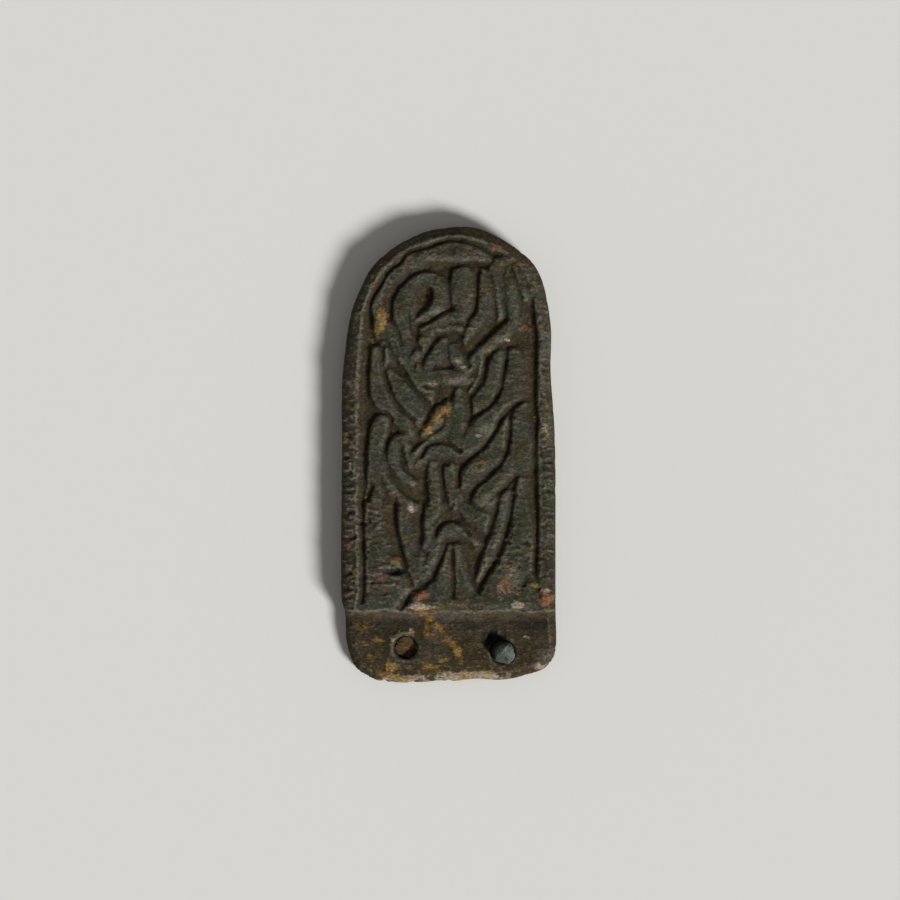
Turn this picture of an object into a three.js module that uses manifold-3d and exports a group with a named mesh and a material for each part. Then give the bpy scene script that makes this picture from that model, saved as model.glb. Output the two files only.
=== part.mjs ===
// A tongue-shaped cast strap end, about a thousand years old: one copper-alloy plate with acanthus
// leaves standing in relief inside a raised border, stepped down at its square end, and what is left
// of the two rivets that held the strap. It lies on its back: +Z out of the decorated face, +Y to the
// rounded tip. Millimetres.
import * as THREE from 'three';
import { mergeVertices } from 'three/addons/utils/BufferGeometryUtils.js';
import Module from 'manifold-3d';

const wasm = await Module();
wasm.setup();

// Driving dimensions of the plate
const plateLength = 50.0;
const plateWidth = 23.6;
const ledgeLength = 8.1;
const ledgeThickness = 2.0;
const fieldRise = 0.7;
const borderHeight = 0.8;
const stepRun = 0.4;
const backChamfer = 0.35;
const shoulderFall = 0.7;
const shoulderRun = 0.65;
const fieldThickness = ledgeThickness + fieldRise;
const faceThickness = fieldThickness + borderHeight;

// Driving dimensions of the sunk field and of the leaves that stand on it
const fieldWallRun = 0.35;
const leafHeight = 0.75;
const leafRoot = 0.5;
const leafStep = 1.0;

// Driving dimensions of the rivets, with their places from the plate's middle line and square end
const leftRivetAside = 4.7;
const leftRivetUp = 3.9;
const rightRivetAside = 5.95;
const rightRivetUp = 3.4;
const leftShankDiameter = 2.1;
const rightShankDiameter = 2.45;
const tailOverhang = 0.4;
const tailDepth = 0.5;
const stubRise = 1.0;
const stubShoulder = 0.35;
const stumpDrop = 0.7;
const stumpSlant = 0.2;
const rivetClearance = 0.3;
const cutOverrun = 2.0;

// Counts of steps round curves
const outlineStepsPerPoint = 2;
const roundSteps = 32;

// Shares of a leaf's width and height, over its section from one foot to the other
const sectionShares = [[-0.5, 0], [-0.4, 0.7], [-0.16, 1], [0.16, 1], [0.4, 0.7], [0.5, 0]];
const footShare = 0.5;
const tipHeightShare = 0.6;
const stubTopShare = 0.6;

// The corroded alloy's colours, and how dull and how metallic it is
const plateColour = 0x4c4b3a;
const brownRivetColour = 0x5b3f28;
const greenRivetColour = 0x60726a;
const corrodedRoughness = 0.6;
const corrodedMetalness = 0.55;

// The photograph's pixels, x to the right and y down. The plate's edge, clockwise from its lower left.
const outlinePixels = [
  [345, 640], [348, 653], [355, 669], [366, 677], [379, 682], [394, 683.5], [416, 684], [437, 682],
  [458, 682], [475, 680], [500, 681], [514, 679], [527, 675], [541, 671.5], [551, 663], [557, 652],
  [557, 600], [557, 530], [557, 470], [556, 430], [554, 400], [552, 370], [552.5, 330], [549, 303],
  [543, 279], [533, 262], [520, 251], [506, 244], [491, 234], [479, 227], [462, 226], [446, 229],
  [428, 229], [412, 238], [395, 248], [381, 258], [369, 270], [361, 288], [353, 304], [348, 323],
  [344, 352], [341, 385], [341, 440], [340.5, 500], [340, 560], [341, 603], [344, 612], [344.5, 628],
];

// The border's inner edge, round the sunk field. It runs on past the step, where the ledge cut ends it.
const fieldPixels = [
  [357, 622], [357, 590], [356, 545], [356, 500], [356, 450], [356, 400], [357, 365], [359, 340],
  [361, 318], [364, 302], [371, 288], [380, 273], [391, 261], [404, 251], [418, 245], [433, 239.5],
  [449, 236], [464, 236.5], [480, 240], [494, 246], [508, 254], [519, 264], [527, 277], [532, 291],
  [535, 306], [538, 325], [540, 350], [540, 390], [540, 430], [540, 480], [541, 530], [541, 580],
  [541, 622],
];

// The raised leaves, collars and stems: points along the middle of each, with its width at that point.
const leavesPixels = {
  rightLowerTendril: [
    [482, 506, 22], [488, 496, 24], [497, 484, 21], [507, 474, 20], [516, 464, 23], [522, 453, 25],
    [522, 441, 20], [521, 429, 16], [521, 417, 16], [524, 406, 9],
  ],
  rightLowerLeaf: [
    [464, 486, 8], [467, 479, 14], [474, 471, 18], [482, 464, 19], [491, 456, 20], [498, 447, 17],
    [501, 437, 15], [503, 428, 12], [506, 420, 7],
  ],
  rightMiddleTendril: [
    [469, 449, 14], [476, 441, 20], [486, 430, 21], [496, 419, 19], [505, 408, 19], [512, 397, 21],
    [514, 386, 21], [515, 375, 18], [515, 363, 17], [515, 354, 13],
  ],
  rightMiddleLeaf: [
    [474, 411, 9], [478, 404, 14], [484, 397, 16], [490, 389, 16], [494, 380, 15], [496, 370, 15],
    [498, 361, 14], [500, 354, 9],
  ],
  rightSliver: [[471, 391, 5], [477, 384, 6], [481, 376, 7], [483, 367, 8], [484, 360, 7]],
  heartRightTendril: [
    [467, 365, 7], [474, 359, 10], [483, 352, 10], [492, 345, 10], [501, 338, 11], [508, 331, 12],
    [513, 322, 13], [514, 311, 13], [513, 299, 13], [511, 287, 12], [508, 277, 8],
  ],
  heartRightLeaf: [
    [469, 351, 7], [476, 343, 8], [484, 334, 9], [492, 326, 9], [499, 318, 9], [501, 311, 6],
  ],
  heartHangingLeaf: [
    [467, 332, 7], [473, 325, 9], [480, 316, 11], [486, 306, 13], [489, 295, 15], [488, 286, 14],
    [486, 279, 8],
  ],
  heartTongue: [[463, 316, 14], [464, 308, 20], [464, 296, 21], [463, 284, 22], [462, 275, 17]],
  heartScroll: [
    [411, 369, 8], [405, 360, 12], [403, 348, 14], [403, 336, 15], [402, 324, 15], [401, 312, 15],
    [403, 301, 15], [408, 291, 14], [416, 283, 13], [426, 278, 12], [435, 281, 11], [438, 290, 11],
    [438, 300, 11], [434, 309, 11], [426, 316, 10], [418, 320, 8],
  ],
  heartLeftLeaf: [[396, 352, 7], [393, 341, 10], [390, 330, 8], [388, 323, 5]],
  heartBranch: [[459, 326, 7], [450, 326, 9], [441, 326, 9], [431, 328, 9], [424, 330, 6]],
  tipCrescent: [
    [491, 260, 7], [482, 257, 13], [468, 253, 17], [451, 251, 17], [435, 253, 15], [420, 257, 13],
    [408, 263, 14], [397, 271, 15], [388, 281, 13], [382, 291, 11], [377, 300, 11], [375, 309, 9],
  ],
  firstCollar: [
    [478, 363, 6], [472, 370, 10], [462, 376, 12], [449, 378, 12], [436, 378, 12], [425, 377, 12],
    [419, 371, 9], [418, 366, 6],
  ],
  budRight: [[465, 370, 6], [461, 363, 9], [456, 356, 9], [452, 350, 6]],
  budLeft: [[425, 365, 6], [430, 359, 9], [436, 350, 10], [441, 342, 7]],
  budFoot: [[424, 350, 7], [418, 354, 11], [412, 359, 8]],
  stemTriangle: [[433, 400, 5], [430, 394, 10], [428, 389, 17]],
  secondStem: [[459, 391, 8], [459, 402, 12], [459, 414, 14], [459, 427, 16], [458, 438, 18]],
  leftMiddleLeaf: [
    [421, 419, 10], [415, 410, 15], [408, 400, 17], [401, 390, 16], [395, 380, 12], [390, 373, 6],
  ],
  leftMiddleTendril: [
    [411, 434, 8], [405, 425, 13], [397, 415, 16], [388, 405, 19], [379, 394, 18], [376, 383, 14],
    [375, 372, 12], [375, 360, 11], [375, 350, 8],
  ],
  leftSliver: [[386, 366, 5], [386, 358, 6], [386, 349, 5]],
  leftLowerTendril: [
    [414, 508, 8], [405, 502, 11], [396, 493, 14], [388, 484, 14], [381, 474, 13], [377, 462, 14],
    [376, 450, 15], [378, 438, 16], [380, 427, 16], [382, 420, 11],
  ],
  leftLowerLeaf: [
    [413, 484, 7], [406, 479, 10], [399, 471, 12], [394, 461, 13], [393, 450, 13], [397, 441, 12],
    [403, 437, 9],
  ],
  leftLowerLeafEdge: [[411, 466, 6], [408, 457, 8], [406, 448, 8], [403, 441, 7]],
  leftShoot: [[438, 437, 6], [430, 442, 7], [421, 449, 8], [413, 456, 8], [409, 463, 6]],
  secondCollar: [
    [467, 452, 7], [459, 452, 12], [450, 451, 13], [440, 451, 13], [430, 453, 12], [422, 459, 9],
    [417, 466, 6],
  ],
  thirdStemRight: [[457, 503, 15], [454, 494, 15], [452, 484, 14], [450, 474, 13], [449, 467, 11]],
  thirdStemLeft: [
    [434, 552, 10], [431, 543, 12], [430, 532, 13], [430, 522, 14], [433, 512, 17], [436, 503, 14],
    [435, 493, 13], [434, 483, 13], [434, 474, 13], [433, 466, 11],
  ],
  thirdCollar: [
    [476, 544, 5], [471, 537, 9], [462, 531, 13], [452, 530, 15], [444, 533, 11], [439, 541, 7],
  ],
  thirdCollarArm: [[489, 525, 15], [481, 520, 17], [472, 514, 16], [465, 508, 12]],
  baseRightWedge: [[463, 598, 17], [463, 585, 16], [461, 574, 13], [459, 563, 9], [457, 555, 6]],
  baseLeftWedge: [[441, 599, 17], [442, 588, 16], [444, 577, 13], [446, 566, 9], [448, 557, 6]],
  leftUpperLeaf: [
    [405, 514, 7], [404, 525, 12], [405, 537, 14], [409, 549, 15], [414, 560, 17], [419, 571, 21],
    [421, 579, 18],
  ],
  leftUpperFold: [[438, 547, 7], [434, 555, 11], [429, 564, 11], [427, 571, 8]],
  leftOuterLeaf: [
    [377, 494, 8], [376, 503, 14], [376, 515, 16], [377, 528, 17], [379, 541, 18], [382, 553, 18],
    [384, 562, 14],
  ],
  leftCrust: [[386, 599, 30], [388, 588, 32], [390, 580, 26]],
  rightUpperLeaf: [
    [478, 583, 5], [482, 574, 9], [487, 562, 11], [492, 550, 12], [497, 538, 12], [501, 526, 12],
    [504, 514, 12], [506, 502, 12], [508, 493, 8],
  ],
  rightOuterLeaf: [
    [502, 598, 18], [506, 588, 23], [511, 576, 25], [513, 564, 25], [516, 551, 22], [518, 538, 20],
    [519, 525, 17], [519, 512, 15], [520, 501, 11], [520, 493, 7],
  ],
  stepBand: [[352, 604, 11], [400, 604, 11], [449, 604, 11], [500, 604, 11], [546, 604, 11]],
};

function corrodedMetal(colour) {
  return new THREE.MeshStandardMaterial({
    color: colour,
    roughness: corrodedRoughness,
    metalness: corrodedMetalness,
  });
}

// Turns a closed geometry into a solid that can be joined and cut.
function toSolid(geometry) {
  const bare = geometry.clone();
  bare.deleteAttribute('normal');
  bare.deleteAttribute('uv');
  const merged = mergeVertices(bare);
  const mesh = new wasm.Mesh({
    numProp: 3,
    vertProperties: new Float32Array(merged.attributes.position.array),
    triVerts: new Uint32Array(merged.index.array),
  });
  return new wasm.Manifold(mesh);
}

function toGeometry(solid) {
  const mesh = solid.getMesh();
  const geometry = new THREE.BufferGeometry();
  geometry.setAttribute('position', new THREE.BufferAttribute(mesh.vertProperties, 3));
  geometry.setIndex(new THREE.BufferAttribute(mesh.triVerts, 1));
  geometry.computeVertexNormals();
  return geometry;
}

// A smooth curve through pixel points. A leaf's width rides along as the third coordinate.
function smoothCurve(pixels, closed) {
  const points = pixels.map(([x, y, width = 0]) => new THREE.Vector3(x, y, width));
  return new THREE.CatmullRomCurve3(points, closed, 'centripetal');
}

// A closed curve's points, evenly spaced.
function smoothRing(pixels) {
  return smoothCurve(pixels, true).getSpacedPoints(pixels.length * outlineStepsPerPoint).slice(0, -1);
}

const outlinePhoto = smoothRing(outlinePixels);
const photoBox = new THREE.Box3().setFromPoints(outlinePhoto);
const photoCentre = photoBox.getCenter(new THREE.Vector3());
const photoSize = photoBox.getSize(new THREE.Vector3());
const pixelSize = plateWidth / photoSize.x;

// Takes a point of the photograph to the plate's own millimetres.
function place(pixel, height) {
  return new THREE.Vector3(
    ((pixel.x - photoCentre.x) * plateWidth) / photoSize.x,
    ((photoCentre.y - pixel.y) * plateLength) / photoSize.y,
    height,
  );
}

// Closes a stack of rings with equal counts into a solid. Each ring turns anticlockwise seen from
// the side that the stack grows towards, and the two end rings are flat.
function stackRings(rings, endTriangles) {
  const count = rings[0].length;
  const positions = rings.flat().flatMap((point) => [point.x, point.y, point.z]);
  const index = [];
  for (let ring = 0; ring + 1 < rings.length; ring += 1) {
    for (let i = 0; i < count; i += 1) {
      const next = (i + 1) % count;
      const low = ring * count;
      const high = low + count;
      index.push(low + i, low + next, high + next, low + i, high + next, high + i);
    }
  }
  const last = (rings.length - 1) * count;
  for (const [a, b, c] of endTriangles) {
    index.push(a, c, b);
    index.push(last + a, last + b, last + c);
  }
  const geometry = new THREE.BufferGeometry();
  geometry.setAttribute('position', new THREE.Float32BufferAttribute(positions, 3));
  geometry.setIndex(index);
  return toSolid(geometry);
}

// The ring moved inwards, square to itself, by a distance.
function insetRing(ring, distance, height) {
  const count = ring.length;
  return ring.map((point, i) => {
    const before = ring[(i + count - 1) % count];
    const after = ring[(i + 1) % count];
    const along = new THREE.Vector3().subVectors(after, before).normalize();
    return new THREE.Vector3(point.x - along.y * distance, point.y + along.x * distance, height);
  });
}

// A closed pixel curve in the plate's millimetres, turning anticlockwise.
function placedRing(photoRing) {
  const ring = photoRing.map((pixel) => place(pixel, 0));
  if (THREE.ShapeUtils.area(ring) < 0) {
    ring.reverse();
  }
  return ring;
}

function plateBlank() {
  const edge = placedRing(outlinePhoto);
  const rings = [
    insetRing(edge, backChamfer, 0),
    insetRing(edge, 0, backChamfer),
    insetRing(edge, 0, faceThickness - shoulderFall),
    insetRing(edge, shoulderRun, faceThickness),
  ];
  return stackRings(rings, THREE.ShapeUtils.triangulateShape(edge, []));
}

// What is taken away inside the border to leave the sunk field, with sloping walls.
function fieldPocket() {
  const edge = placedRing(smoothRing(fieldPixels));
  const rings = [
    insetRing(edge, fieldWallRun, fieldThickness),
    insetRing(edge, 0, faceThickness),
    insetRing(edge, 0, faceThickness + cutOverrun),
  ];
  return stackRings(rings, THREE.ShapeUtils.triangulateShape(edge, []));
}

// A fan over a convex ring of so many points.
function fanTriangles(count) {
  return Array.from({ length: count - 2 }, (_, i) => [0, i + 1, i + 2]);
}

// A leaf that stands on the field: a round-shouldered section swept along its middle line.
function raisedLeaf(pixels) {
  const curve = smoothCurve(pixels, false);
  const count = Math.max(pixels.length, Math.round((curve.getLength() * pixelSize) / leafStep));
  const samples = curve.getSpacedPoints(count);
  const line = samples.map((sample) => place(sample, 0));
  const rings = line.map((point, i) => {
    const before = line[Math.max(i - 1, 0)];
    const after = line[Math.min(i + 1, count)];
    const along = new THREE.Vector3().subVectors(after, before).normalize();
    const width = samples[i].z * pixelSize;
    const height = i === 0 || i === count ? leafHeight * tipHeightShare : leafHeight;
    const crown = sectionShares.map(([across, up]) => [across * width, up * height]);
    const foot = footShare * width;
    const section = [[-foot, -leafRoot], ...crown, [foot, -leafRoot]];
    return section.map(([side, up]) => (
      new THREE.Vector3(point.x + along.y * side, point.y - along.x * side, fieldThickness + up)
    ));
  });
  return stackRings(rings, fanTriangles(rings[0].length));
}

// The block that is taken away over the ledge, with the sloping face of the step at its upper end.
function ledgeCut() {
  const stepY = ledgeLength - plateLength / 2;
  const low = -plateLength / 2 - cutOverrun;
  const top = faceThickness + cutOverrun;
  const slope = stepRun / (faceThickness - ledgeThickness);
  const profile = new THREE.Shape([
    new THREE.Vector2(low, ledgeThickness),
    new THREE.Vector2(stepY - stepRun, ledgeThickness),
    new THREE.Vector2(stepY - stepRun + (top - ledgeThickness) * slope, top),
    new THREE.Vector2(low, top),
  ]);
  const width = plateWidth + 2 * cutOverrun;
  const block = new THREE.ExtrudeGeometry(profile, { depth: width, bevelEnabled: false });
  block.translate(0, 0, -width / 2);
  block.applyMatrix4(new THREE.Matrix4().makeBasis(
    new THREE.Vector3(0, 1, 0),
    new THREE.Vector3(0, 0, 1),
    new THREE.Vector3(1, 0, 0),
  ));
  return toSolid(block);
}

const leftRivetPlace = new THREE.Vector2(-leftRivetAside, leftRivetUp - plateLength / 2);
const rightRivetPlace = new THREE.Vector2(rightRivetAside, rightRivetUp - plateLength / 2);

// A turned body about a rivet's place, from radius and height pairs that start and end on the axis.
function turned(profile, centre) {
  const points = profile.map(([radius, height]) => new THREE.Vector2(radius, height));
  const body = new THREE.LatheGeometry(points, roundSteps);
  body.rotateX(Math.PI / 2);
  body.translate(centre.x, centre.y, 0);
  return toSolid(body);
}

// A rivet's hole: straight through the ledge, with a countersink for the spread tail at the back.
function rivetHole(centre, shankDiameter) {
  const holeRadius = shankDiameter / 2 + rivetClearance;
  const sinkRadius = holeRadius + tailOverhang;
  const top = faceThickness + cutOverrun;
  return turned([
    [0, -cutOverrun],
    [sinkRadius, -cutOverrun],
    [sinkRadius, 0],
    [holeRadius, tailDepth],
    [holeRadius, top],
    [0, top],
  ], centre);
}

function castPlate() {
  let plate = plateBlank().subtract(fieldPocket());
  for (const pixels of Object.values(leavesPixels)) {
    plate = plate.add(raisedLeaf(pixels));
  }
  plate = plate.subtract(ledgeCut());
  plate = plate.subtract(rivetHole(leftRivetPlace, leftShankDiameter));
  plate = plate.subtract(rivetHole(rightRivetPlace, rightShankDiameter));
  return new THREE.Mesh(toGeometry(plate), corrodedMetal(plateColour));
}

// The left rivet's stump: a tail hammered flat into the back and a shank that snapped on a slant
// below the ledge's face.
function stumpRivet() {
  const radius = leftShankDiameter / 2;
  const top = ledgeThickness - stumpDrop;
  const tailRadius = radius + tailOverhang;
  const whole = [[0, 0], [tailRadius, 0], [radius, tailDepth], [radius, top], [0, top]];
  const cutter = new THREE.BoxGeometry(tailRadius * 4, tailRadius * 4, cutOverrun);
  cutter.translate(0, 0, cutOverrun / 2);
  cutter.rotateY(Math.atan(stumpSlant / leftShankDiameter));
  cutter.translate(leftRivetPlace.x, leftRivetPlace.y, top - stumpSlant / 2);
  const body = turned(whole, leftRivetPlace).subtract(toSolid(cutter));
  return new THREE.Mesh(toGeometry(body), corrodedMetal(brownRivetColour));
}

// The right rivet: the same tail, and a shank that still stands out over the ledge with a worn top.
function stubRivet() {
  const radius = rightShankDiameter / 2;
  const top = ledgeThickness + stubRise;
  const body = turned([
    [0, 0],
    [radius + tailOverhang, 0],
    [radius, tailDepth],
    [radius, top - stubShoulder],
    [radius * stubTopShare, top],
    [0, top],
  ], rightRivetPlace);
  return new THREE.Mesh(toGeometry(body), corrodedMetal(greenRivetColour));
}

const strapEnd = new THREE.Group();
const pieces = { cast_plate: castPlate(), left_rivet: stumpRivet(), right_rivet: stubRivet() };
for (const [name, piece] of Object.entries(pieces)) {
  piece.name = name;
  strapEnd.add(piece);
}

export default strapEnd;
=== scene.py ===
"""A cast and corroded strap end with foliage in relief, dressed for rendering.

The part lies on its back. +Z is out of the decorated face and +Y runs to the rounded tip.
Shapes are worked out in millimetres and become metres when a mesh is made.
"""

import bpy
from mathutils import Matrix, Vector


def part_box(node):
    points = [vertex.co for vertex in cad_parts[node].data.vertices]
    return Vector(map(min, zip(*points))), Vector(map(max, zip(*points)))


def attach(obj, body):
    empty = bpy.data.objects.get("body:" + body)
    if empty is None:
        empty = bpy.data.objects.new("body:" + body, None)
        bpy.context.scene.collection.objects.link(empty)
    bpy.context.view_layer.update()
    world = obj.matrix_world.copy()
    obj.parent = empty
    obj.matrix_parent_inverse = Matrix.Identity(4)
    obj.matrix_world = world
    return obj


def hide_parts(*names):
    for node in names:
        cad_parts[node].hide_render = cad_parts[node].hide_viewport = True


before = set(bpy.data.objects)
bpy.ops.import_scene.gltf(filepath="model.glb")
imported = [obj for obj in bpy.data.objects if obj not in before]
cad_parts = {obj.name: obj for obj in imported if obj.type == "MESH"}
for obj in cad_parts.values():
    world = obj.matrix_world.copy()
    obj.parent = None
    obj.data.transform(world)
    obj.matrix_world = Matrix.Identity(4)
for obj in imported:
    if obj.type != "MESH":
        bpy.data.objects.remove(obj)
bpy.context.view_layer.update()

import math

import bpy
import numpy as np
from bpy.props import FloatProperty, FloatVectorProperty, IntProperty, PointerProperty

bl_info = {
    "name": "Cast Strap End",
    "version": (1, 0, 0),
    "blender": (4, 5, 0),
    "location": "3D View > Sidebar > Strap End",
    "description": "Builds a corroded cast strap end with its two rivets, and a pale stage for it",
    "category": "Add Mesh",
}

MM = 0.001

# The drawing, in photo pixels (x, y)

OUTLINE = (
    (345, 640), (348, 653), (355, 669), (366, 677), (379, 682), (394, 683.5), (416, 684), (437, 682),
    (458, 682), (475, 680), (500, 681), (514, 679.5), (528, 676), (542, 672), (552, 664), (557, 654),
    (557, 600), (557, 530), (557, 470), (556, 430), (554, 400), (552, 370), (552.5, 330), (549, 303),
    (543, 279), (533.5, 262), (520, 250), (506, 240.5), (492, 233), (478, 227.5), (462, 226), (446, 227),
    (429, 230), (412, 236.5), (395, 246), (380, 257.5), (368.5, 271), (360.5, 287), (353, 304), (348, 323),
    (344, 352), (341, 385), (341, 440), (340.5, 500), (340, 560), (341, 603), (344, 612), (344.5, 628),
)
CORNERS = ((347, 651), (556, 656), (543, 279), (369, 270))
FIELD_EDGE = (
    (357, 622), (357, 590), (356, 545), (356, 500), (356, 450), (356, 400), (357, 365), (359, 340),
    (361, 318), (364, 302), (371, 288), (380, 273), (391, 261), (404, 251), (418, 245), (433, 239.5),
    (449, 236), (464, 236.5), (480, 240), (494, 246), (508, 254), (519, 264), (527, 277), (532, 291),
    (535, 306), (538, 325), (540, 350), (540, 390), (540, 430), (540, 480), (541, 530), (541, 580),
    (541, 622),
)

# Each leaf, collar or stem: points along its middle as (x, y, width).
LEAVES = {
    "right lower tendril": (
        (482, 506, 22), (488, 496, 24), (497, 484, 21), (507, 474, 20), (516, 464, 23), (522, 453, 25),
        (522, 441, 20), (521, 429, 16), (521, 417, 16), (524, 406, 9),
    ),
    "right lower leaf": (
        (464, 486, 8), (467, 479, 14), (474, 471, 18), (482, 464, 19), (491, 456, 20), (498, 447, 17),
        (501, 437, 15), (503, 428, 12), (506, 420, 7),
    ),
    "right middle tendril": (
        (469, 449, 14), (475, 440, 22), (484, 428, 25), (494, 417, 23), (503, 406, 22), (511, 396, 22),
        (514, 386, 21), (515, 375, 18), (515, 363, 17), (515, 354, 13),
    ),
    "right middle leaf": (
        (474, 411, 9), (478, 404, 14), (484, 397, 16), (490, 389, 16), (494, 380, 15), (496, 370, 15),
        (498, 361, 14), (500, 354, 9),
    ),
    "right sliver": ((471, 391, 5), (477, 384, 6), (481, 376, 7), (483, 367, 8), (484, 360, 7)),
    "heart right tendril": (
        (467, 367, 8), (474, 361, 11), (483, 353, 13), (492, 345, 13), (501, 337, 13), (508, 330, 13),
        (513, 322, 13), (514, 311, 13), (513, 299, 13), (511, 287, 12), (508, 277, 8),
    ),
    "heart hanging leaf": (
        (466, 338, 8), (472, 330, 12), (479, 319, 15), (485, 308, 18), (487, 296, 19), (486, 286, 18),
        (484, 277, 10),
    ),
    "heart hanging fold": (
        (501, 316, 6), (501, 304, 10), (501, 292, 11), (499, 280, 12), (495, 270, 12), (486, 270, 10),
    ),
    "heart tongue": ((463, 316, 13), (462, 307, 19), (462, 296, 21), (462, 285, 22), (462, 275, 19)),
    "heart scroll": (
        (411, 369, 8), (405, 360, 13), (403, 348, 17), (403, 336, 19), (403, 324, 20), (403, 312, 20),
        (403, 301, 18), (408, 290, 14), (416, 281, 11), (426, 277, 11), (435, 281, 13), (440, 290, 15),
        (440, 300, 15), (435, 309, 12), (426, 316, 10), (418, 321, 8),
    ),
    "heart left leaf": ((396, 352, 7), (393, 341, 10), (390, 330, 8), (388, 323, 5)),
    "heart branch": ((422, 331, 8), (433, 326, 10), (444, 320, 11), (456, 316, 12)),
    "heart knot": (
        (461, 328, 6), (453, 328, 8), (444, 329, 8), (435, 331, 9), (427, 337, 13), (422, 346, 12),
    ),
    "tip crescent": (
        (491, 260, 7), (482, 257, 13), (468, 253, 17), (451, 251, 17), (435, 253, 15), (420, 257, 13),
        (408, 263, 14), (397, 271, 15), (388, 281, 13), (382, 291, 11), (377, 300, 11), (375, 309, 10),
        (377, 319, 13), (380, 329, 16), (384, 338, 13),
    ),
    "first collar": (
        (478, 362, 6), (473, 369, 11), (462, 375, 15), (449, 377, 16), (436, 377, 15), (425, 376, 13),
        (419, 371, 9), (418, 366, 6),
    ),
    "bud right": ((464, 371, 6), (459, 363, 13), (455, 355, 12), (452, 347, 8)),
    "bud left": ((426, 369, 7), (432, 361, 15), (439, 352, 16), (444, 342, 10)),
    "bud foot": ((424, 350, 7), (418, 354, 11), (412, 359, 8)),
    "stem triangle": ((433, 400, 5), (430, 394, 10), (428, 389, 17)),
    "second stem": ((459, 391, 8), (459, 402, 12), (459, 414, 14), (459, 427, 16), (458, 438, 18)),
    "left middle leaf": (
        (420, 420, 12), (414, 411, 17), (407, 401, 19), (400, 391, 18), (394, 381, 14), (389, 373, 8),
    ),
    "collar left side": ((408, 367, 7), (414, 377, 9), (420, 388, 9)),
    "stem joint": ((449, 402, 7), (450, 416, 11), (449, 430, 13), (440, 435, 9), (430, 440, 7)),
    "soil heap": ((424, 433, 8), (431, 425, 14), (439, 415, 16), (446, 407, 10)),
    "left middle tendril": (
        (411, 434, 8), (405, 425, 13), (397, 415, 16), (388, 405, 19), (379, 394, 18), (376, 383, 14),
        (375, 372, 12), (375, 360, 11), (375, 350, 8),
    ),
    "left sliver": ((386, 366, 5), (386, 358, 6), (386, 349, 5)),
    "left lower tendril": (
        (414, 508, 8), (405, 502, 11), (396, 493, 14), (388, 484, 14), (381, 474, 13), (376, 462, 16),
        (375, 450, 18), (377, 438, 19), (379, 427, 19), (382, 419, 12),
    ),
    "left ground": ((368, 455, 6), (371, 468, 12), (374, 482, 14), (378, 493, 12)),
    "left lower leaf": (
        (413, 484, 7), (406, 479, 10), (399, 471, 12), (394, 461, 13), (393, 450, 13), (398, 441, 13),
        (406, 437, 9),
    ),
    "left lower leaf edge": ((411, 466, 6), (408, 457, 8), (406, 448, 8), (403, 441, 7)),
    "left shoot": ((438, 437, 6), (430, 442, 7), (421, 449, 8), (413, 456, 8), (409, 463, 6)),
    "second collar": (
        (467, 452, 7), (459, 452, 12), (450, 451, 13), (440, 451, 13), (430, 453, 12), (422, 459, 9),
        (417, 466, 6),
    ),
    "third stem right": ((457, 503, 15), (454, 494, 15), (452, 484, 14), (450, 474, 13), (449, 467, 11)),
    "third stem left": (
        (434, 552, 10), (431, 543, 12), (430, 532, 13), (430, 522, 14), (433, 512, 17), (436, 503, 14),
        (435, 493, 13), (434, 483, 13), (434, 474, 13), (433, 466, 11),
    ),
    "third collar": (
        (476, 544, 5), (471, 537, 9), (462, 531, 13), (452, 530, 15), (444, 533, 11), (439, 541, 7),
    ),
    "third collar arm": ((489, 525, 15), (481, 520, 17), (472, 514, 16), (465, 508, 12)),
    "base right wedge": (
        (464, 600, 19), (464, 588, 17), (461, 575, 13), (459, 563, 9), (458, 553, 8), (457, 547, 8),
    ),
    "base right joint": ((480, 602, 14), (480, 594, 9)),
    "base left wedge": (
        (441, 599, 17), (442, 588, 17), (444, 577, 15), (446, 566, 11), (449, 554, 7), (450, 548, 8),
    ),
    "base left foot": ((445, 582, 16), (437, 589, 16), (427, 595, 14), (415, 600, 12)),
    "left upper leaf": (
        (401, 502, 7), (403, 513, 12), (404, 525, 13), (405, 537, 15), (409, 549, 16), (414, 560, 17),
        (419, 571, 21), (421, 579, 18),
    ),
    "left upper joint": ((429, 538, 8), (425, 549, 9), (421, 560, 9)),
    "left upper fold": ((438, 547, 7), (434, 555, 11), (429, 564, 11), (427, 571, 8)),
    "left outer leaf": (
        (371, 487, 9), (372, 500, 16), (372, 515, 19), (373, 530, 20), (375, 545, 22), (376, 560, 24),
    ),
    "left crust": ((384, 601, 43), (384, 588, 43), (383, 577, 39), (380, 568, 31)),
    "right upper leaf": (
        (478, 583, 5), (482, 574, 9), (487, 562, 11), (492, 550, 12), (497, 538, 12), (501, 526, 12),
        (504, 514, 12), (506, 502, 12), (508, 493, 8),
    ),
    "right outer leaf": (
        (507, 599, 28), (511, 588, 33), (514, 576, 34), (517, 564, 32), (520, 551, 28), (521, 538, 24),
        (522, 525, 20), (522, 512, 17), (521, 501, 13), (521, 492, 11), (522, 481, 9),
    ),
    "right outer foot": ((488, 599, 16), (493, 586, 16), (499, 573, 12), (504, 561, 8)),
    "right foot crust": ((529, 600, 22), (531, 588, 14)),
    "right shoulder crust": ((497, 262, 10), (507, 264, 16), (516, 272, 18), (524, 284, 14), (527, 297, 8)),
    "step band": ((352, 604, 11), (400, 604, 11), (449, 604, 11), (500, 604, 11), (546, 604, 11)),
}

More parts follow.
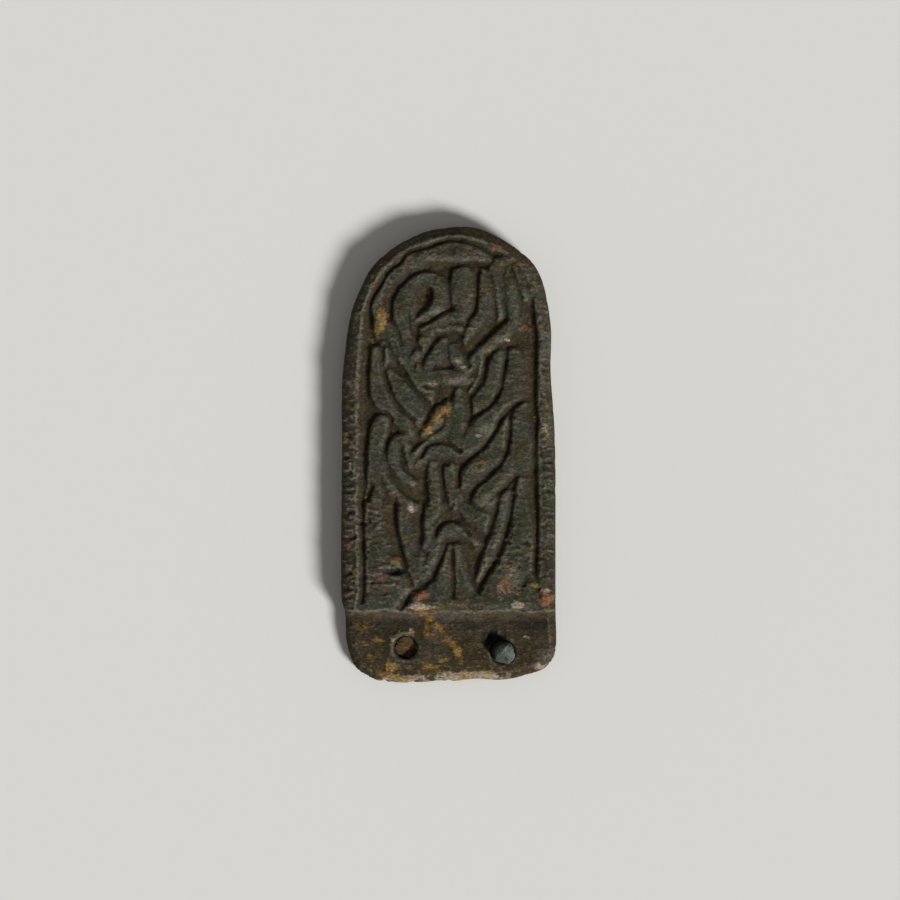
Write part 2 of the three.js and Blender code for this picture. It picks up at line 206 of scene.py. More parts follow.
# Each channel between the leaves: its width and its depth share, then points along its bottom.
CHANNELS = {
    "right border foot": (6, 1.0, (
        (533, 300), (534, 310), (535, 320), (537, 340), (537, 370), (536, 400), (538, 420), (537, 440),
        (535, 457), (537, 475), (538, 500), (538, 520), (537, 550), (536, 577),
    )),
    "right band side": (6, 0.5, ((512, 268), (515, 275), (518, 285), (520, 292), (521, 310), (521, 326))),
    "hanging slit": (4, 0.6, ((476, 336), (482, 328), (489, 318))),
    "fold slit": (4, 0.5, ((501, 285), (504, 300), (507, 318))),
    "tongue left side": (5, 0.6, ((447, 278), (449, 292), (450, 306))),
    "knot foot": (5, 0.9, ((437, 336), (446, 334), (455, 334), (463, 337))),
    "bud slit": (4, 0.4, ((448, 346), (448, 356), (450, 366))),
    "bud right side": (5, 0.8, ((461, 338), (464, 348), (467, 359), (470, 366))),
    "crescent foot": (5, 0.8, ((366, 342), (376, 341), (386, 340), (389, 344))),
    "collar foot": (4, 0.8, ((424, 386), (435, 389), (447, 388), (460, 384), (470, 378), (476, 371))),
    "stem fold": (4, 0.7, ((454, 505), (447, 512), (439, 519), (434, 525))),
    "left leaf sides": (6, 0.7, (
        (369, 350), (368, 367), (366, 382), (366, 410), (368, 432), (366, 440), (367, 465),
    )),
    "left outer leaf side": (7, 1.0, (
        (365, 465), (363, 485), (362, 500), (362, 530), (363, 550), (363, 585), (361, 603),
    )),
    "crescent outside": (6, 1.0, (
        (369, 343), (371, 333), (371, 320), (369, 308), (373, 296), (380, 285), (389, 270), (401, 262),
        (407, 253), (418, 250), (431, 246),
        (444, 241.5), (460, 240), (477, 245), (490, 252),
    )),
    "scroll outside": (6, 1.0, (
        (391, 320), (391, 305), (397, 289), (406, 280), (418, 271), (430, 270), (440, 272), (447, 278),
        (449, 279), (452, 269), (460, 266), (470, 263), (480, 265), (488, 268),
    )),
    "scroll fold one": (4, 0.6, ((394, 322), (398, 332), (402, 345))),
    "scroll fold two": (4, 0.7, ((409, 314), (411, 328), (417, 342), (421, 350))),
    "branch top": (6, 1.0, ((418, 325), (428, 322), (437, 316), (445, 311), (452, 308))),
    "tongue side": (6, 1.0, ((478, 272), (477, 300), (474, 314), (468, 319))),
    "bud side": (6, 1.0, ((437, 336), (434, 343), (425, 356), (421, 360))),
    "heart right upper": (6, 1.0, ((471, 353), (484, 341), (493, 331), (502, 323), (507, 320))),
    "heart right lower": (4, 0.8, ((488, 357), (497, 349), (508, 341), (517, 335))),
    "right sliver side": (6, 1.0, ((488, 357), (485, 373), (478, 386), (471, 397))),
    "right middle split": (6, 1.0, ((475, 417), (490, 407), (500, 393), (504, 375), (507, 360))),
    "right lower top": (6, 1.0, ((483, 450), (493, 436), (503, 419), (513, 408), (525, 400))),
    "right lower inner": (4, 0.8, ((511, 415), (511, 430), (511, 443))),
    "right lower foot": (6, 1.0, ((490, 440), (480, 451), (470, 460), (461, 470), (459, 487))),
    "right tendril foot": (6, 1.0, ((471, 492), (485, 481), (500, 466), (507, 455), (510, 430))),
    "right tendril end": (6, 1.0, ((491, 500), (503, 491), (512, 482), (517, 477))),
    "right tendril lip": (5, 0.8, ((471, 503), (478, 508), (485, 511), (494, 514))),
    "right upper left side": (6, 1.0, (
        (500, 495), (495, 512), (490, 532), (485, 543), (478, 560), (476, 566),
    )),
    "right upper right side": (6, 1.0, (
        (514, 495), (511, 515), (506, 535), (500, 550), (492, 568), (484, 580), (478, 588),
    )),
    "second stem side": (6, 1.0, ((470, 395), (471, 405), (472, 417))),
    "second stem slit": (5, 0.6, ((452, 388), (451, 400))),
    "second stem left": (7, 1.0, ((440, 386), (437, 400), (431, 413), (425, 423), (417, 434))),
    "left middle foot": (6, 1.0, ((384, 372), (388, 386), (394, 399), (403, 411), (414, 421))),
    "left middle top": (5, 0.9, ((388, 366), (397, 370), (406, 380), (416, 391), (428, 403))),
    "left lower outline": (6, 1.0, (
        (366, 448), (368, 428), (372, 419), (378, 414), (385, 414), (391, 419), (389, 436), (384, 452),
    )),
    "left lower lip": (5, 0.9, ((388, 474), (396, 484), (405, 494), (416, 501))),
    "left lower fold": (5, 0.9, ((401, 450), (402, 465), (405, 470), (416, 478))),
    "second collar top": (6, 1.0, (
        (421, 457), (425, 450), (430, 445), (437, 442.5), (451, 445), (461, 452),
    )),
    "second collar foot": (4, 0.8, ((441, 463), (449, 465))),
    "third stem outside": (5, 0.9, ((424, 478), (424, 500), (421, 525))),
    "third stem slit": (5, 0.9, ((441, 465), (443, 485), (444, 502))),
    "third collar top": (6, 1.0, (
        (436, 535), (439, 527), (450, 520), (463, 526), (471, 535),
    )),
    "third collar foot": (5, 0.9, ((446, 543), (455, 542), (464, 544))),
    "left upper side": (9, 1.1, ((394, 503), (395, 527), (397, 537), (403, 558))),
    "left upper nick": (4, 0.7, ((420, 549), (427, 554))),
    "left pit": (8, 0.8, ((371, 487), (367, 500))),
    "left nick": (4, 0.7, ((381, 480), (386, 494))),
    "base side": (8, 1.0, (
        (446, 548), (441, 560), (436, 571), (428, 583), (417, 589), (409, 598), (402, 609),
    )),
    "base side fold": (4, 0.7, ((409, 595), (400, 606))),
    "base right channel": (7, 0.9, ((479, 592), (472, 575), (468, 558))),
    "base middle channel": (8, 0.9, ((452, 552), (452, 570), (452, 590))),
    "tip crack": (4, 0.5, ((503, 268), (511, 265), (518, 260))),
    "left border crack one": (5, 0.8, ((350, 472), (344, 478))),
    "left border crack two": (5, 0.8, ((355, 537), (345, 541))),
    "left border crack three": (5, 0.8, ((350, 572), (343, 578))),
    "crust slash": (8, 1.2, ((400, 610), (407, 600), (413, 593), (418, 590))),
}

# Lumps and hollows that stand apart: (x, y, half width, half height, rise in millimetres).
LUMPS = (
    (519, 605, 7, 4, 0.22), (548, 600, 9, 8, 0.12), (396, 561, 6, 5, 0.22), (421, 606, 10, 4, 0.16),
    (395, 572, 10, 4, -0.5), (380, 600, 10, 5, 0.12), (434, 625, 5, 10, 0.10), (446, 640, 6, 8, 0.09),
    (455, 652, 6, 6, 0.08), (528, 638, 6, 2.5, 0.10), (381, 322, 7, 12, 0.10), (435, 423, 9, 8, 0.22),
    (480, 466, 8, 7, 0.10), (494, 641, 15, 13, -0.45), (392, 662, 14, 6, 0.08), (372, 664, 8, 8, 0.10),
    (512, 576, 8, 8, 0.10),
)

# Where corrosion is thickest: (x, y, half width, half height, strength).
CRUST = (
    (384, 585, 26, 26, 1.0), (375, 530, 18, 50, 1.0), (515, 570, 26, 40, 1.0), (347, 500, 12, 140, 1.0),
    (549, 440, 12, 190, 0.6),
)

# Patches of colour: kind, then (x, y, half width, half height, strength).
PATCHES = {
    # Painted shadow: near black where shadow falls behind the standing rivet, in the scroll's eye and under
    # the crust.
    "painted_shadow": (
        (493, 641, 12, 11, 1.0), (430, 297, 7, 10, 0.5), (421, 583, 5, 5, 0.5), (406, 604, 5, 6, 0.5),
        (395, 573, 12, 4, 0.5),
    ),
    # Tan stain of cleaned-off soil, and painted light on the step and on lit slopes.
    "tan": (
        (450, 614, 130, 6, 1.0), (440, 634, 18, 20, 0.75), (434, 656, 18, 14, 0.6), (368, 642, 26, 8, 0.5),
        (456, 630, 26, 16, 0.45), (452, 573, 6, 24, 0.8), (362, 470, 5, 60, 0.5), (545, 660, 16, 14, 0.6),
        (531, 360, 7, 60, 0.4), (364, 400, 5, 60, 0.4), (400, 545, 8, 24, 0.4), (465, 300, 8, 14, 0.5),
        (485, 290, 8, 16, 0.6), (540, 290, 12, 40, 0.6), (534, 274, 13, 14, 0.8), (520, 262, 20, 12, 0.5),
        (355, 340, 8, 40, 0.4),
    ),
    # Darker patina, and painted shade on slopes, borders and channels that face away from the lamp and round
    # the standing rivet.
    "dark": (
        (440, 232, 80, 8, 0.8), (372, 268, 16, 20, 0.7), (440, 249, 46, 9, 0.5), (388, 280, 14, 22, 0.45),
        (521, 408, 8, 9, 0.8), (376, 520, 12, 44, 0.5), (349, 430, 9, 190, 0.5), (348, 470, 8, 10, 0.8),
        (468, 266, 18, 5, 0.6), (536, 626, 26, 9, 0.9), (375, 637, 22, 8, 0.6), (395, 572, 16, 8, 1.0),
        (493, 641, 16, 13, 1.0), (345, 555, 6, 40, 0.6), (430, 297, 10, 16, 0.4), (442, 480, 14, 30, 0.35),
        (470, 626, 36, 6, 0.6), (400, 626, 30, 5, 0.5), (534, 400, 6, 110, 0.35), (362, 400, 6, 90, 0.3),
        (549, 470, 8, 8, 0.6), (550, 520, 8, 9, 0.5), (548, 370, 7, 6, 0.6), (549, 560, 8, 12, 0.5),
        (478, 592, 16, 10, 0.5), (355, 590, 10, 14, 0.6), (470, 340, 8, 8, 0.5), (455, 345, 12, 14, 0.4),
    ),
    # Painted light on flanks, borders and the step that face the lamp, with some pale wear.
    "pale": (
        (488, 500, 13, 8, 0.9), (486, 430, 13, 9, 0.9), (548, 350, 9, 60, 0.6), (549, 420, 8, 40, 0.5),
        (511, 578, 15, 20, 0.8), (515, 300, 9, 28, 0.4), (460, 381, 20, 5, 0.9),
        (482, 349, 14, 5, 0.8), (500, 339, 12, 5, 0.8), (448, 259, 40, 4, 0.7), (440, 312, 12, 4, 0.8),
        (456, 361, 7, 5, 0.9), (464, 369, 5, 4, 1.0), (430, 383, 14, 4, 0.8), (412, 508, 6, 7, 0.8),
        (485, 620, 60, 3, 0.4), (545, 655, 12, 12, 0.5), (470, 470, 14, 6, 0.5), (404, 590, 10, 6, 0.7),
        (445, 534, 16, 5, 0.5), (497, 606, 20, 3, 0.4), (452, 573, 5, 22, 0.3),
    ),
    "olive": (
        (520, 272, 28, 28, 0.9), (524, 440, 12, 60, 0.6), (430, 340, 14, 14, 0.7), (372, 350, 12, 20, 0.5),
        (350, 620, 14, 12, 0.5), (536, 626, 26, 10, 0.9), (430, 640, 40, 14, 0.5), (530, 340, 10, 60, 0.5),
        (462, 590, 8, 12, 0.9), (400, 540, 10, 40, 0.5), (440, 660, 40, 10, 0.6), (360, 655, 16, 12, 0.5),
    ),
    "soil": (
        (381, 320, 8, 17, 1.0), (376, 330, 6, 8, 0.8), (371, 344, 5, 7, 0.6), (446, 410, 8, 6, 1.0),
        (437, 418, 10, 8, 1.0), (427, 430, 9, 8, 1.0), (480, 464, 9, 10, 0.55), (424, 614, 8, 5, 0.8),
        (430, 620, 6, 5, 0.75), (437, 625, 5, 5, 0.8), (442, 631, 4, 7, 0.85), (427, 632, 5, 14, 0.7),
        (447, 640, 6, 5, 0.75), (453, 645, 6, 6, 0.85), (458, 652, 7, 8, 1.0), (463, 660, 5, 5, 0.5),
        (443, 661, 8, 4, 0.85), (430, 667, 9, 5, 0.8), (421, 673, 7, 4, 0.7), (391, 667, 10, 8, 1.0),
        (382, 675, 9, 5, 0.8), (370, 658, 15, 5, 0.6), (363, 667, 10, 5, 0.45), (399, 679, 16, 5, 0.9),
        (364, 628, 14, 9, 0.5), (378, 641, 16, 5, 0.5), (360, 645, 12, 5, 0.5),
        (450, 670, 110, 10, 0.42), (480, 650, 10, 12, 0.35), (408, 634, 10, 4, 0.4), (396, 561, 7, 6, 0.5),
        (344, 440, 4, 10, 0.9), (487, 290, 4, 6, 0.5), (403, 640, 8, 6, 0.5), (450, 605, 30, 4, 0.4),
        (470, 678, 20, 4, 0.7), (520, 262, 14, 8, 0.45), (368, 340, 6, 6, 0.5), (538, 586, 9, 4, 0.7),
    ),
    "red": (
        (346, 545, 7, 8, 0.85), (495, 248, 12, 6, 0.75), (526, 326, 10, 9, 0.7), (420, 596, 13, 8, 1.0),
        (547, 599, 12, 10, 1.0), (474, 598, 12, 4, 0.5), (495, 596, 6, 6, 0.5), (434, 632, 9, 10, 0.45),
        (507, 585, 9, 14, 0.75), (512, 566, 8, 8, 0.6), (518, 590, 8, 8, 0.6), (470, 682, 20, 4, 0.5),
        (430, 682, 24, 4, 0.45), (358, 335, 8, 20, 0.35),
        (356, 380, 8, 40, 0.35), (425, 296, 8, 12, 0.35), (436, 348, 6, 8, 0.5), (348, 600, 8, 16, 0.4),
        (352, 575, 8, 8, 0.5), (364, 633, 8, 6, 0.5), (420, 362, 8, 6, 0.4), (500, 560, 8, 10, 0.3),
        (380, 577, 10, 6, 0.75), (396, 561, 9, 5, 0.7), (472, 605, 30, 3, 0.4), (395, 260, 14, 8, 0.3),
        (372, 285, 6, 12, 0.35),
    ),
    # Pale crust, and painted glints on lit edges.
    "chalk_and_glints": (
        (411, 508, 4, 6, 0.8), (463, 367, 5, 3, 0.8), (508, 340, 5, 3, 0.7), (478, 436, 4, 3, 0.7),
        (549, 300, 4, 34, 0.35),
        (433, 384, 12, 2, 0.5), (462, 378, 10, 3, 0.5), (459, 361, 4, 4, 0.6), (500, 598, 8, 5, 0.4),
        (384, 568, 10, 4, 0.4),
        (420, 607, 17, 5, 1.0), (519, 605, 9, 5, 1.0), (505, 590, 14, 10, 0.5), (512, 570, 9, 16, 0.45),
        (350, 468, 3, 12, 0.4), (470, 678, 50, 8, 1.0),
        (405, 681, 36, 8, 0.95), (528, 638, 6, 3, 0.6), (392, 642, 5, 8, 0.5), (410, 632, 7, 4, 0.6),
        (542, 667, 14, 5, 0.7), (548, 432, 7, 17, 0.55), (546, 591, 6, 4, 0.8), (426, 608, 8, 3, 0.9),
        (468, 328, 9, 4, 0.4), (549, 400, 7, 12, 0.3), (415, 600, 5, 5, 0.6), (400, 632, 6, 3, 0.3),
    ),
}


# Unevenness of each surface in millimetres, as waves of (rise, size of the lumps, seed of the noise).
# Three sizes are those along x, y and z.
FIELD_EDGE_WAVES = ((0.05, 1.1, 1), (0.03, 0.5, 2))
CASTING_WAVES = ((0.1, 2.3, 4), (0.12, 1.0, 5))
BORDER_WAVES = ((0.05, (1.6, 0.36, 1.0), 8), (0.022, 0.33, 9))
STEP_WAVES = ((0.12, (1.0, 3.0, 1.0), 10), (0.05, (0.4, 3.0, 1.0), 21))
LEDGE_WAVES = ((0.05, 1.9, 12), (0.03, (3.5, 0.3, 1.0), 13), (0.045, 0.6, 14), (0.03, 0.27, 18))
EDGE_WAVES = ((0.07, 1.5, 31), (0.08, 0.6, 32), (0.055, 0.27, 33))
BACK_WAVES = ((0.03, 3.0, 34), (0.02, 1.0, 35))
HOLE_WAVES = ((0.035, 0.8, 41), (0.02, 0.3, 42))
STUMP_WAVES = ((1.0, 0.55, 51), (0.6, 0.25, 52))
STUB_WAVES = ((1.0, 0.5, 61), (0.6, 0.22, 62))
# The fine relief also has the rise that the crust adds, after its own.
FINE_WAVES = ((0.038, 0.1, (0.9, 0.42, 1.0), 6), (0.026, 0.05, (0.5, 0.24, 1.0), 7))

# Curves and places

TABLE_STEP = 2.0  # pixels between samples of a smooth line through the drawing's points
RING_STEPS = 180  # sides of the outline and of the field's edge, where depths are measured from them

# Sizes in millimetres that belong to the relief's forms.
JOIN, LEAF_JOIN, STEP_JOIN = 0.06, 0.04, 0.15  # how far two forms are rounded where they meet
CHANNEL_REACH, FAR_AWAY = 1.2, 9.0             # how far a channel cuts, and a distance beyond all of them
# The seam is painted shade and dirt along each channel's bottom.
SEAM_WIDTH = 0.22                              # half the width of the dark seam along a channel
BORDER_DROP = 0.05                             # how far the border lies under the plate's highest point
EDGE_WEAR = 0.5                                # how far the ledge's worn edge falls
RIM_WEAR, RIM_WIDTH = 0.16, 0.3                # the worn rim of each hole
BURR_RISE, BURR_OUT, BURR_WIDTH = 0.16, 0.4, 0.42  # the burr round the left hole
BURR_SIDE = np.array((-0.75, 0.66))            # the side of the left hole on which its burr stands
SCRATCH_TURN = np.array(((0.97, 0.24), (-0.24, 0.97)))  # turns the scratches askew to the plate


def smooth_line(points, spacing, closed=False):
    """A smooth curve through table points, as samples about one spacing apart."""
    points = np.array(points, float)
    if closed:
        padded = np.vstack((points[-1:], points, points[:2]))
    else:
        padded = np.vstack((2 * points[:1] - points[1:2], points, 2 * points[-1:] - points[-2:-1]))
    samples = []
    for before, start, end, after in zip(padded, padded[1:], padded[2:], padded[3:]):
        gaps = [max(np.linalg.norm((b - a)[:2]), 1e-6) ** 0.5
                for a, b in ((before, start), (start, end), (end, after))]
        leave = (start - before) / gaps[0] - (end - before) / (gaps[0] + gaps[1]) + (end - start) / gaps[1]
        arrive = (end - start) / gaps[1] - (after - start) / (gaps[1] + gaps[2]) + (after - end) / gaps[2]
        leave, arrive = leave * gaps[1], arrive * gaps[1]
        count = max(1, round(gaps[1] ** 2 / spacing))
        t = np.arange(count)[:, None] / count
        samples.append(
            (2 * t**3 - 3 * t**2 + 1) * start + (t**3 - 2 * t**2 + t) * leave
            + (3 * t**2 - 2 * t**3) * end + (t**3 - t**2) * arrive
        )
    if not closed:
        samples.append(points[-1:])
    return np.vstack(samples)


def evenly(line, count):
    """So many points along a line, the same distance apart, ends included."""
    steps = np.hypot(*np.diff(line[:, :2], axis=0).T)
    along = np.concatenate(([0], np.cumsum(steps)))
    wanted = np.linspace(0, along[-1], count)
    return np.column_stack([np.interp(wanted, along, column) for column in line.T])


def rejoined(points):
    """A loop of points with the first one again at its end."""
    return np.vstack((points, points[:1]))


OUTLINE_PIXELS = smooth_line(OUTLINE, 1.0, closed=True)
PLATE_LOW, PLATE_HIGH = (np.array(corner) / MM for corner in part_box("cast_plate"))
PIXEL_LOW, PIXEL_HIGH = OUTLINE_PIXELS.min(0), OUTLINE_PIXELS.max(0)
PIXEL = (PLATE_HIGH[0] - PLATE_LOW[0]) / (PIXEL_HIGH[0] - PIXEL_LOW[0])


def place(pixels):
    """Photo pixels as millimetres on the plate. A width in the third column is scaled too."""
    pixels = np.array(pixels, float)
    share = (pixels[:, :2] - PIXEL_LOW) / (PIXEL_HIGH - PIXEL_LOW)
    share[:, 1] = 1 - share[:, 1]
    spots = PLATE_LOW[:2] + share * (PLATE_HIGH - PLATE_LOW)[:2]
    return np.column_stack((spots, pixels[:, 2:] * PIXEL))


def even_ring(pixels, count):
    """So many points on the plate round a closed line of pixels, the same distance apart."""
    return place(evenly(rejoined(pixels), count + 1)[:-1])


# The way towards the lamp, seen from above.
LIGHT_SIDE = np.array((0.743, -0.669))


def inside_ring(spots, ring):
    """How deep each spot lies inside a closed ring, negative outside it, and its lean.

    The lean is 1 where the spot lies on the lamp's side of the ring's nearest point, -1 on the far side.
    """
    nearest = np.full(len(spots), np.inf)
    lean = np.zeros(len(spots))
    inside = np.zeros(len(spots), bool)
    for start, end in zip(ring, np.roll(ring, -1, axis=0)):
        along, away = end - start, spots - start
        share = np.clip(away @ along / (along @ along), 0, 1)
        offset = away - share[:, None] * along
        gap = np.hypot(*offset.T)
        better = gap < nearest
        nearest[better] = gap[better]
        lean[better] = (offset[better] @ LIGHT_SIDE) / np.maximum(gap[better], 1e-6)
        crossed = (start[1] > spots[:, 1]) != (end[1] > spots[:, 1])
        rise = along[1] if abs(along[1]) > 1e-9 else 1e-9
        inside ^= crossed & (away[:, 0] < away[:, 1] * along[0] / rise)
    return np.where(inside, nearest, -nearest), lean


def inside_line(spots, line, reach):
    """How deep each spot lies inside a line that has a width, the half width there, and the lean."""
    depth = np.full(len(spots), -np.inf)
    half = np.ones(len(spots))
    lean = np.zeros(len(spots))
    reach += line[:, 2].max() / 2
    low, high = line[:, :2].min(0) - reach, line[:, :2].max(0) + reach
    near = np.flatnonzero(np.all((spots > low) & (spots < high), axis=1))
    picked, found, found_half, found_lean = spots[near], depth[near], half[near], lean[near]
    for start, end in zip(line, line[1:]):
        along = (end - start)[:2]
        away = picked - start[:2]
        share = np.clip(away @ along / max(along @ along, 1e-12), 0, 1)
        width = (start[2] + share * (end[2] - start[2])) / 2
        offset = away - share[:, None] * along
        gap = np.hypot(*offset.T)
        here = width - gap
        better = here > found
        found[better], found_half[better] = here[better], width[better]
        found_lean[better] = (offset[better] @ LIGHT_SIDE) / np.maximum(gap[better], 1e-6)
    depth[near], half[near], lean[near] = found, found_half, found_lean
    return depth, half, lean


# Noise and soft joins

NOISE_LATTICE = np.random.default_rng(11).uniform(-1, 1, (32, 32, 32))


def lumpy(points, size, seed):
    """Smooth noise from -1 to 1 with lumps of one size, or one size for each axis."""
    points = np.asarray(points, float)
    if points.shape[1] == 2:
        points = np.column_stack((points, np.zeros(len(points))))
    spots = points / size + seed * 7.31
    cell = np.floor(spots).astype(int)
    share = spots - cell
    share = share * share * (3 - 2 * share)
    total = np.zeros(len(points))
    for corner in np.ndindex(2, 2, 2):
        weight = np.prod(np.where(corner, share, 1 - share), axis=1)
        total += weight * NOISE_LATTICE[tuple(((cell + corner) % 32).T)]
    return total


def uneven(spots, waves):
    """The noise of several waves added up."""
    return sum(rise * lumpy(spots, size, seed) for rise, size, seed in waves)


def ramp(value, low, high):
    """Goes smoothly from 0 to 1 while a value goes from low to high."""
    share = np.clip((value - low) / (high - low), 0, 1)
    return share * share * (3 - 2 * share)


def soft_lower(first, second, blend):
    """The lower of two heights, with the corner where they meet rounded."""
    share = np.clip(0.5 + (second - first) / (2 * blend), 0, 1)
    return second + (first - second) * share - blend * share * (1 - share)


def soft_higher(first, second, blend):
    """The higher of two heights, with the corner where they meet rounded."""
    return -soft_lower(-first, -second, blend)


def blob(spots, x, y, half_width, half_height):
    """A round hill: 1 in the middle of an ellipse given in photo pixels, and 0 a third past its rim."""
    centre = place([(x, y)])[0]
    away = (spots - centre) / (np.array((half_width, half_height)) * PIXEL)
    return ramp(-np.hypot(*away.T), -1.35, -0.2)


# The relief, worked out once on a fine map

class ReliefMap:
    """Heights and surface masks over the front of the plate, read back at any spot in millimetres."""

    def __init__(self, settings):
        self.cell = settings.map_cell / MM
        self.origin = PLATE_LOW[:2] - 4 * self.cell
        counts = np.ceil((PLATE_HIGH[:2] - PLATE_LOW[:2]) / self.cell).astype(int) + 9
        self.shape = (counts[1], counts[0])
        rows, columns = np.indices(self.shape)
        self.spots = np.column_stack((columns.ravel(), rows.ravel())) * self.cell + self.origin
        self.layers = {}
        self.face, self.floor = PLATE_HIGH[2], settings.field_height / MM
        self.ledge, self.leaf_top = settings.ledge_height / MM, settings.leaf_height / MM
        self.steep, self.gentle = settings.steep_run / MM, settings.gentle_run / MM
        self.build(settings)

    def keep(self, name, values):
        """Stores a layer under its name."""
        self.layers[name] = values.reshape(self.shape)

    def blurred(self, name, radius):
        """A layer averaged over a square of so many millimetres each way."""
        reach = max(1, round(radius / self.cell))
        values = self.layers[name]
        for axis in (0, 1):
            widths = [(reach + 1, reach) if a == axis else (0, 0) for a in (0, 1)]
            sums = np.cumsum(np.pad(values, widths, mode="edge"), axis=axis)
            count = values.shape[axis]
            far = np.take(sums, range(2 * reach + 1, 2 * reach + 1 + count), axis=axis)
            values = (far - np.take(sums, range(count), axis=axis)) / (2 * reach + 1)
        return values

    def sample(self, name, spots):
        """A layer's value at each spot, read between the map's cells."""
        grid = (np.asarray(spots)[:, :2] - self.origin) / self.cell
        low = np.clip(np.floor(grid).astype(int), 0, np.array(self.shape[::-1]) - 2)
        share = np.clip(grid - low, 0, 1)
        layer = self.layers[name]
        columns, rows = low.T
        left = layer[rows, columns] * (1 - share[:, 1]) + layer[rows + 1, columns] * share[:, 1]
        right = layer[rows, columns + 1] * (1 - share[:, 1]) + layer[rows + 1, columns + 1] * share[:, 1]
        return left * (1 - share[:, 0]) + right * share[:, 0]

    def build(self, settings):
        """Works out the heights, from the border to the holes, and then the masks."""
        spots = self.spots
        edge_depth, _ = inside_ring(spots, even_ring(OUTLINE_PIXELS, RING_STEPS))
        field_line = even_ring(smooth_line(FIELD_EDGE, TABLE_STEP, closed=True), RING_STEPS)
        field_depth, lean = inside_ring(spots, field_line)
        field_depth += uneven(spots, FIELD_EDGE_WAVES)
        height = soft_higher(self.border(edge_depth, field_depth, lean), self.leaves(settings), JOIN)
        height, seam = self.with_channels(height)

        # Wear and corrosion have rounded every form.
        self.keep("height", height)
        for _ in range(2):
            self.keep("height", self.blurred("height", settings.wear / MM))
        height = 0.2 * height + 0.8 * self.layers["height"].ravel()

        on_border = ramp(-field_depth, 0.0, 0.3)
        crust = sum(strength * blob(spots, *spot) for *spot, strength in CRUST)
        crust = np.clip(crust, 0, 1)
        height += self.corrosion(on_border, crust) + self.pits(settings, crust)

        # How far each spot lies beyond the step's upper edge, towards the ledge.
        past_step = settings.step_top / MM - spots[:, 1] + uneven(spots, STEP_WAVES)
        height = self.with_ledge(settings, height, past_step, edge_depth)
        height += self.lumps_and_rims(settings)
        height = np.minimum(height, self.face - 0.004)

        on_ledge = ramp(past_step, 0.0, 0.5)
        self.keep("height", height)
        self.keep("ledge", on_ledge)
        self.keep("hollow", (1 - ramp(height, self.floor + 0.08, self.floor + 0.5)) * (1 - on_ledge))
        smooth = self.blurred("height", 0.3).ravel()
        # Convex edges, coloured as rubbed wear and as a painted highlight.
        self.keep("crest", np.clip((height - smooth) / 0.07, 0, 1))
        # Hollows and channel bottoms, coloured as dirt and as painted shade.
        self.keep("groove", np.clip(np.maximum((smooth - height) / 0.11, seam * (1 - on_ledge)), 0, 1))
        self.keep("rough", np.clip(crust + 0.8 * on_border, 0, 1) * (1 - on_ledge))
        for kind, patches in PATCHES.items():
            mask = np.zeros(len(spots))
            for *patch, strength in patches:
                mask = np.maximum(mask, strength * blob(spots, *patch))
            self.keep(kind, mask)

    def border(self, edge_depth, field_depth, lean):
        """The raised border. It falls away outwards, most at the tip.

        Its inner wall is steep where it faces away from the lamp in the photograph and gentle where it
        faces it, as every wall of the relief is.
        """
        tip = ramp(self.spots[:, 1], 17.0, 24.0)
        fall, fall_run = 0.3 + 0.5 * tip, 1.25 + 0.3 * tip
        top = self.face - BORDER_DROP - fall * (1 - ramp(edge_depth, 0.1, fall_run))
        wall_run = self.steep + (self.gentle - self.steep) * ramp(lean, -0.4, 0.5)
        return self.floor + (top - self.floor) * ramp(-field_depth / wall_run, -1.0, 0.15)

    def leaves(self, settings):
        """The leaves. Each top is highest along the side away from the lamp, and falls to the other."""
        height = np.full(len(self.spots), self.floor)
        for points in LEAVES.values():
            line = place(smooth_line(points, TABLE_STEP))
            line[:, 2] *= settings.leaf_spread
            depth, half, lean = inside_line(self.spots, line, self.gentle + 0.3)
            lit = ramp(lean, -0.4, 0.6)
            out = np.clip((half - depth) / half, 0, 1)
            crown = 1.02 - 0.24 * out * lean - 0.26 * out**2
            rise = ramp(depth, -0.12 - self.gentle * lit, 0.26 + 0.04 * lit) * crown
            height = soft_higher(height, self.floor + (self.leaf_top - self.floor) * rise, LEAF_JOIN)
        return height

    def with_channels(self, height):
        """Cuts the channels, steepest on the lamp's side, and says how near each spot is to one's bottom, for
        painted shade and dirt there.
        """
        sway, waver = 0.03 * lumpy(self.spots, 0.7, 3), 0.3 * lumpy(self.spots, 2.2, 17)
        seam = np.zeros(len(self.spots))
        for width, share, points in CHANNELS.values():
            line = smooth_line(points, TABLE_STEP)
            line = place(np.column_stack((line, np.zeros(len(line)))))
            depth, _, lean = inside_line(self.spots, line, CHANNEL_REACH)
            away = np.where(np.isfinite(depth), -depth, FAR_AWAY) + sway
            run = width * PIXEL * (0.5 + 0.55 * ramp(-lean, -0.4, 0.5))
            # The seam paints shade and dirt along the channel's bottom.
            seam = np.maximum(seam, 0.8 * share * np.exp(-(away / SEAM_WIDTH) ** 2))
            bottom = self.leaf_top - (self.leaf_top - self.floor) * share * (0.92 + waver)
            wall = bottom + (self.face + 0.1 - bottom) * np.clip((away - 0.04) / run, 0, None)
            height = soft_lower(height, wall, JOIN)
        return height, seam

    def corrosion(self, on_border, crust):
        """Casting unevenness, corrosion lumps, the border's cross ribs and the scratches, which run askew."""
        spots = self.spots
        rise = uneven(spots, CASTING_WAVES)
        for plain, crusty, size, seed in FINE_WAVES:
            rise += (plain + crusty * crust) * lumpy(spots, size, seed)
        notched = ramp(spots[:, 0], 6.0, 9.0) * 0.05
        rise += on_border * (
            uneven(spots, BORDER_WAVES) + 0.11 * (lumpy(spots, (2.6, 0.8, 1.0), 19) - 0.2)
            + notched * lumpy(spots, (2.2, 0.28, 1.0), 22)
        )
        return rise + 0.02 * lumpy(spots @ SCRATCH_TURN, (1.0, 0.24, 1.0), 20)

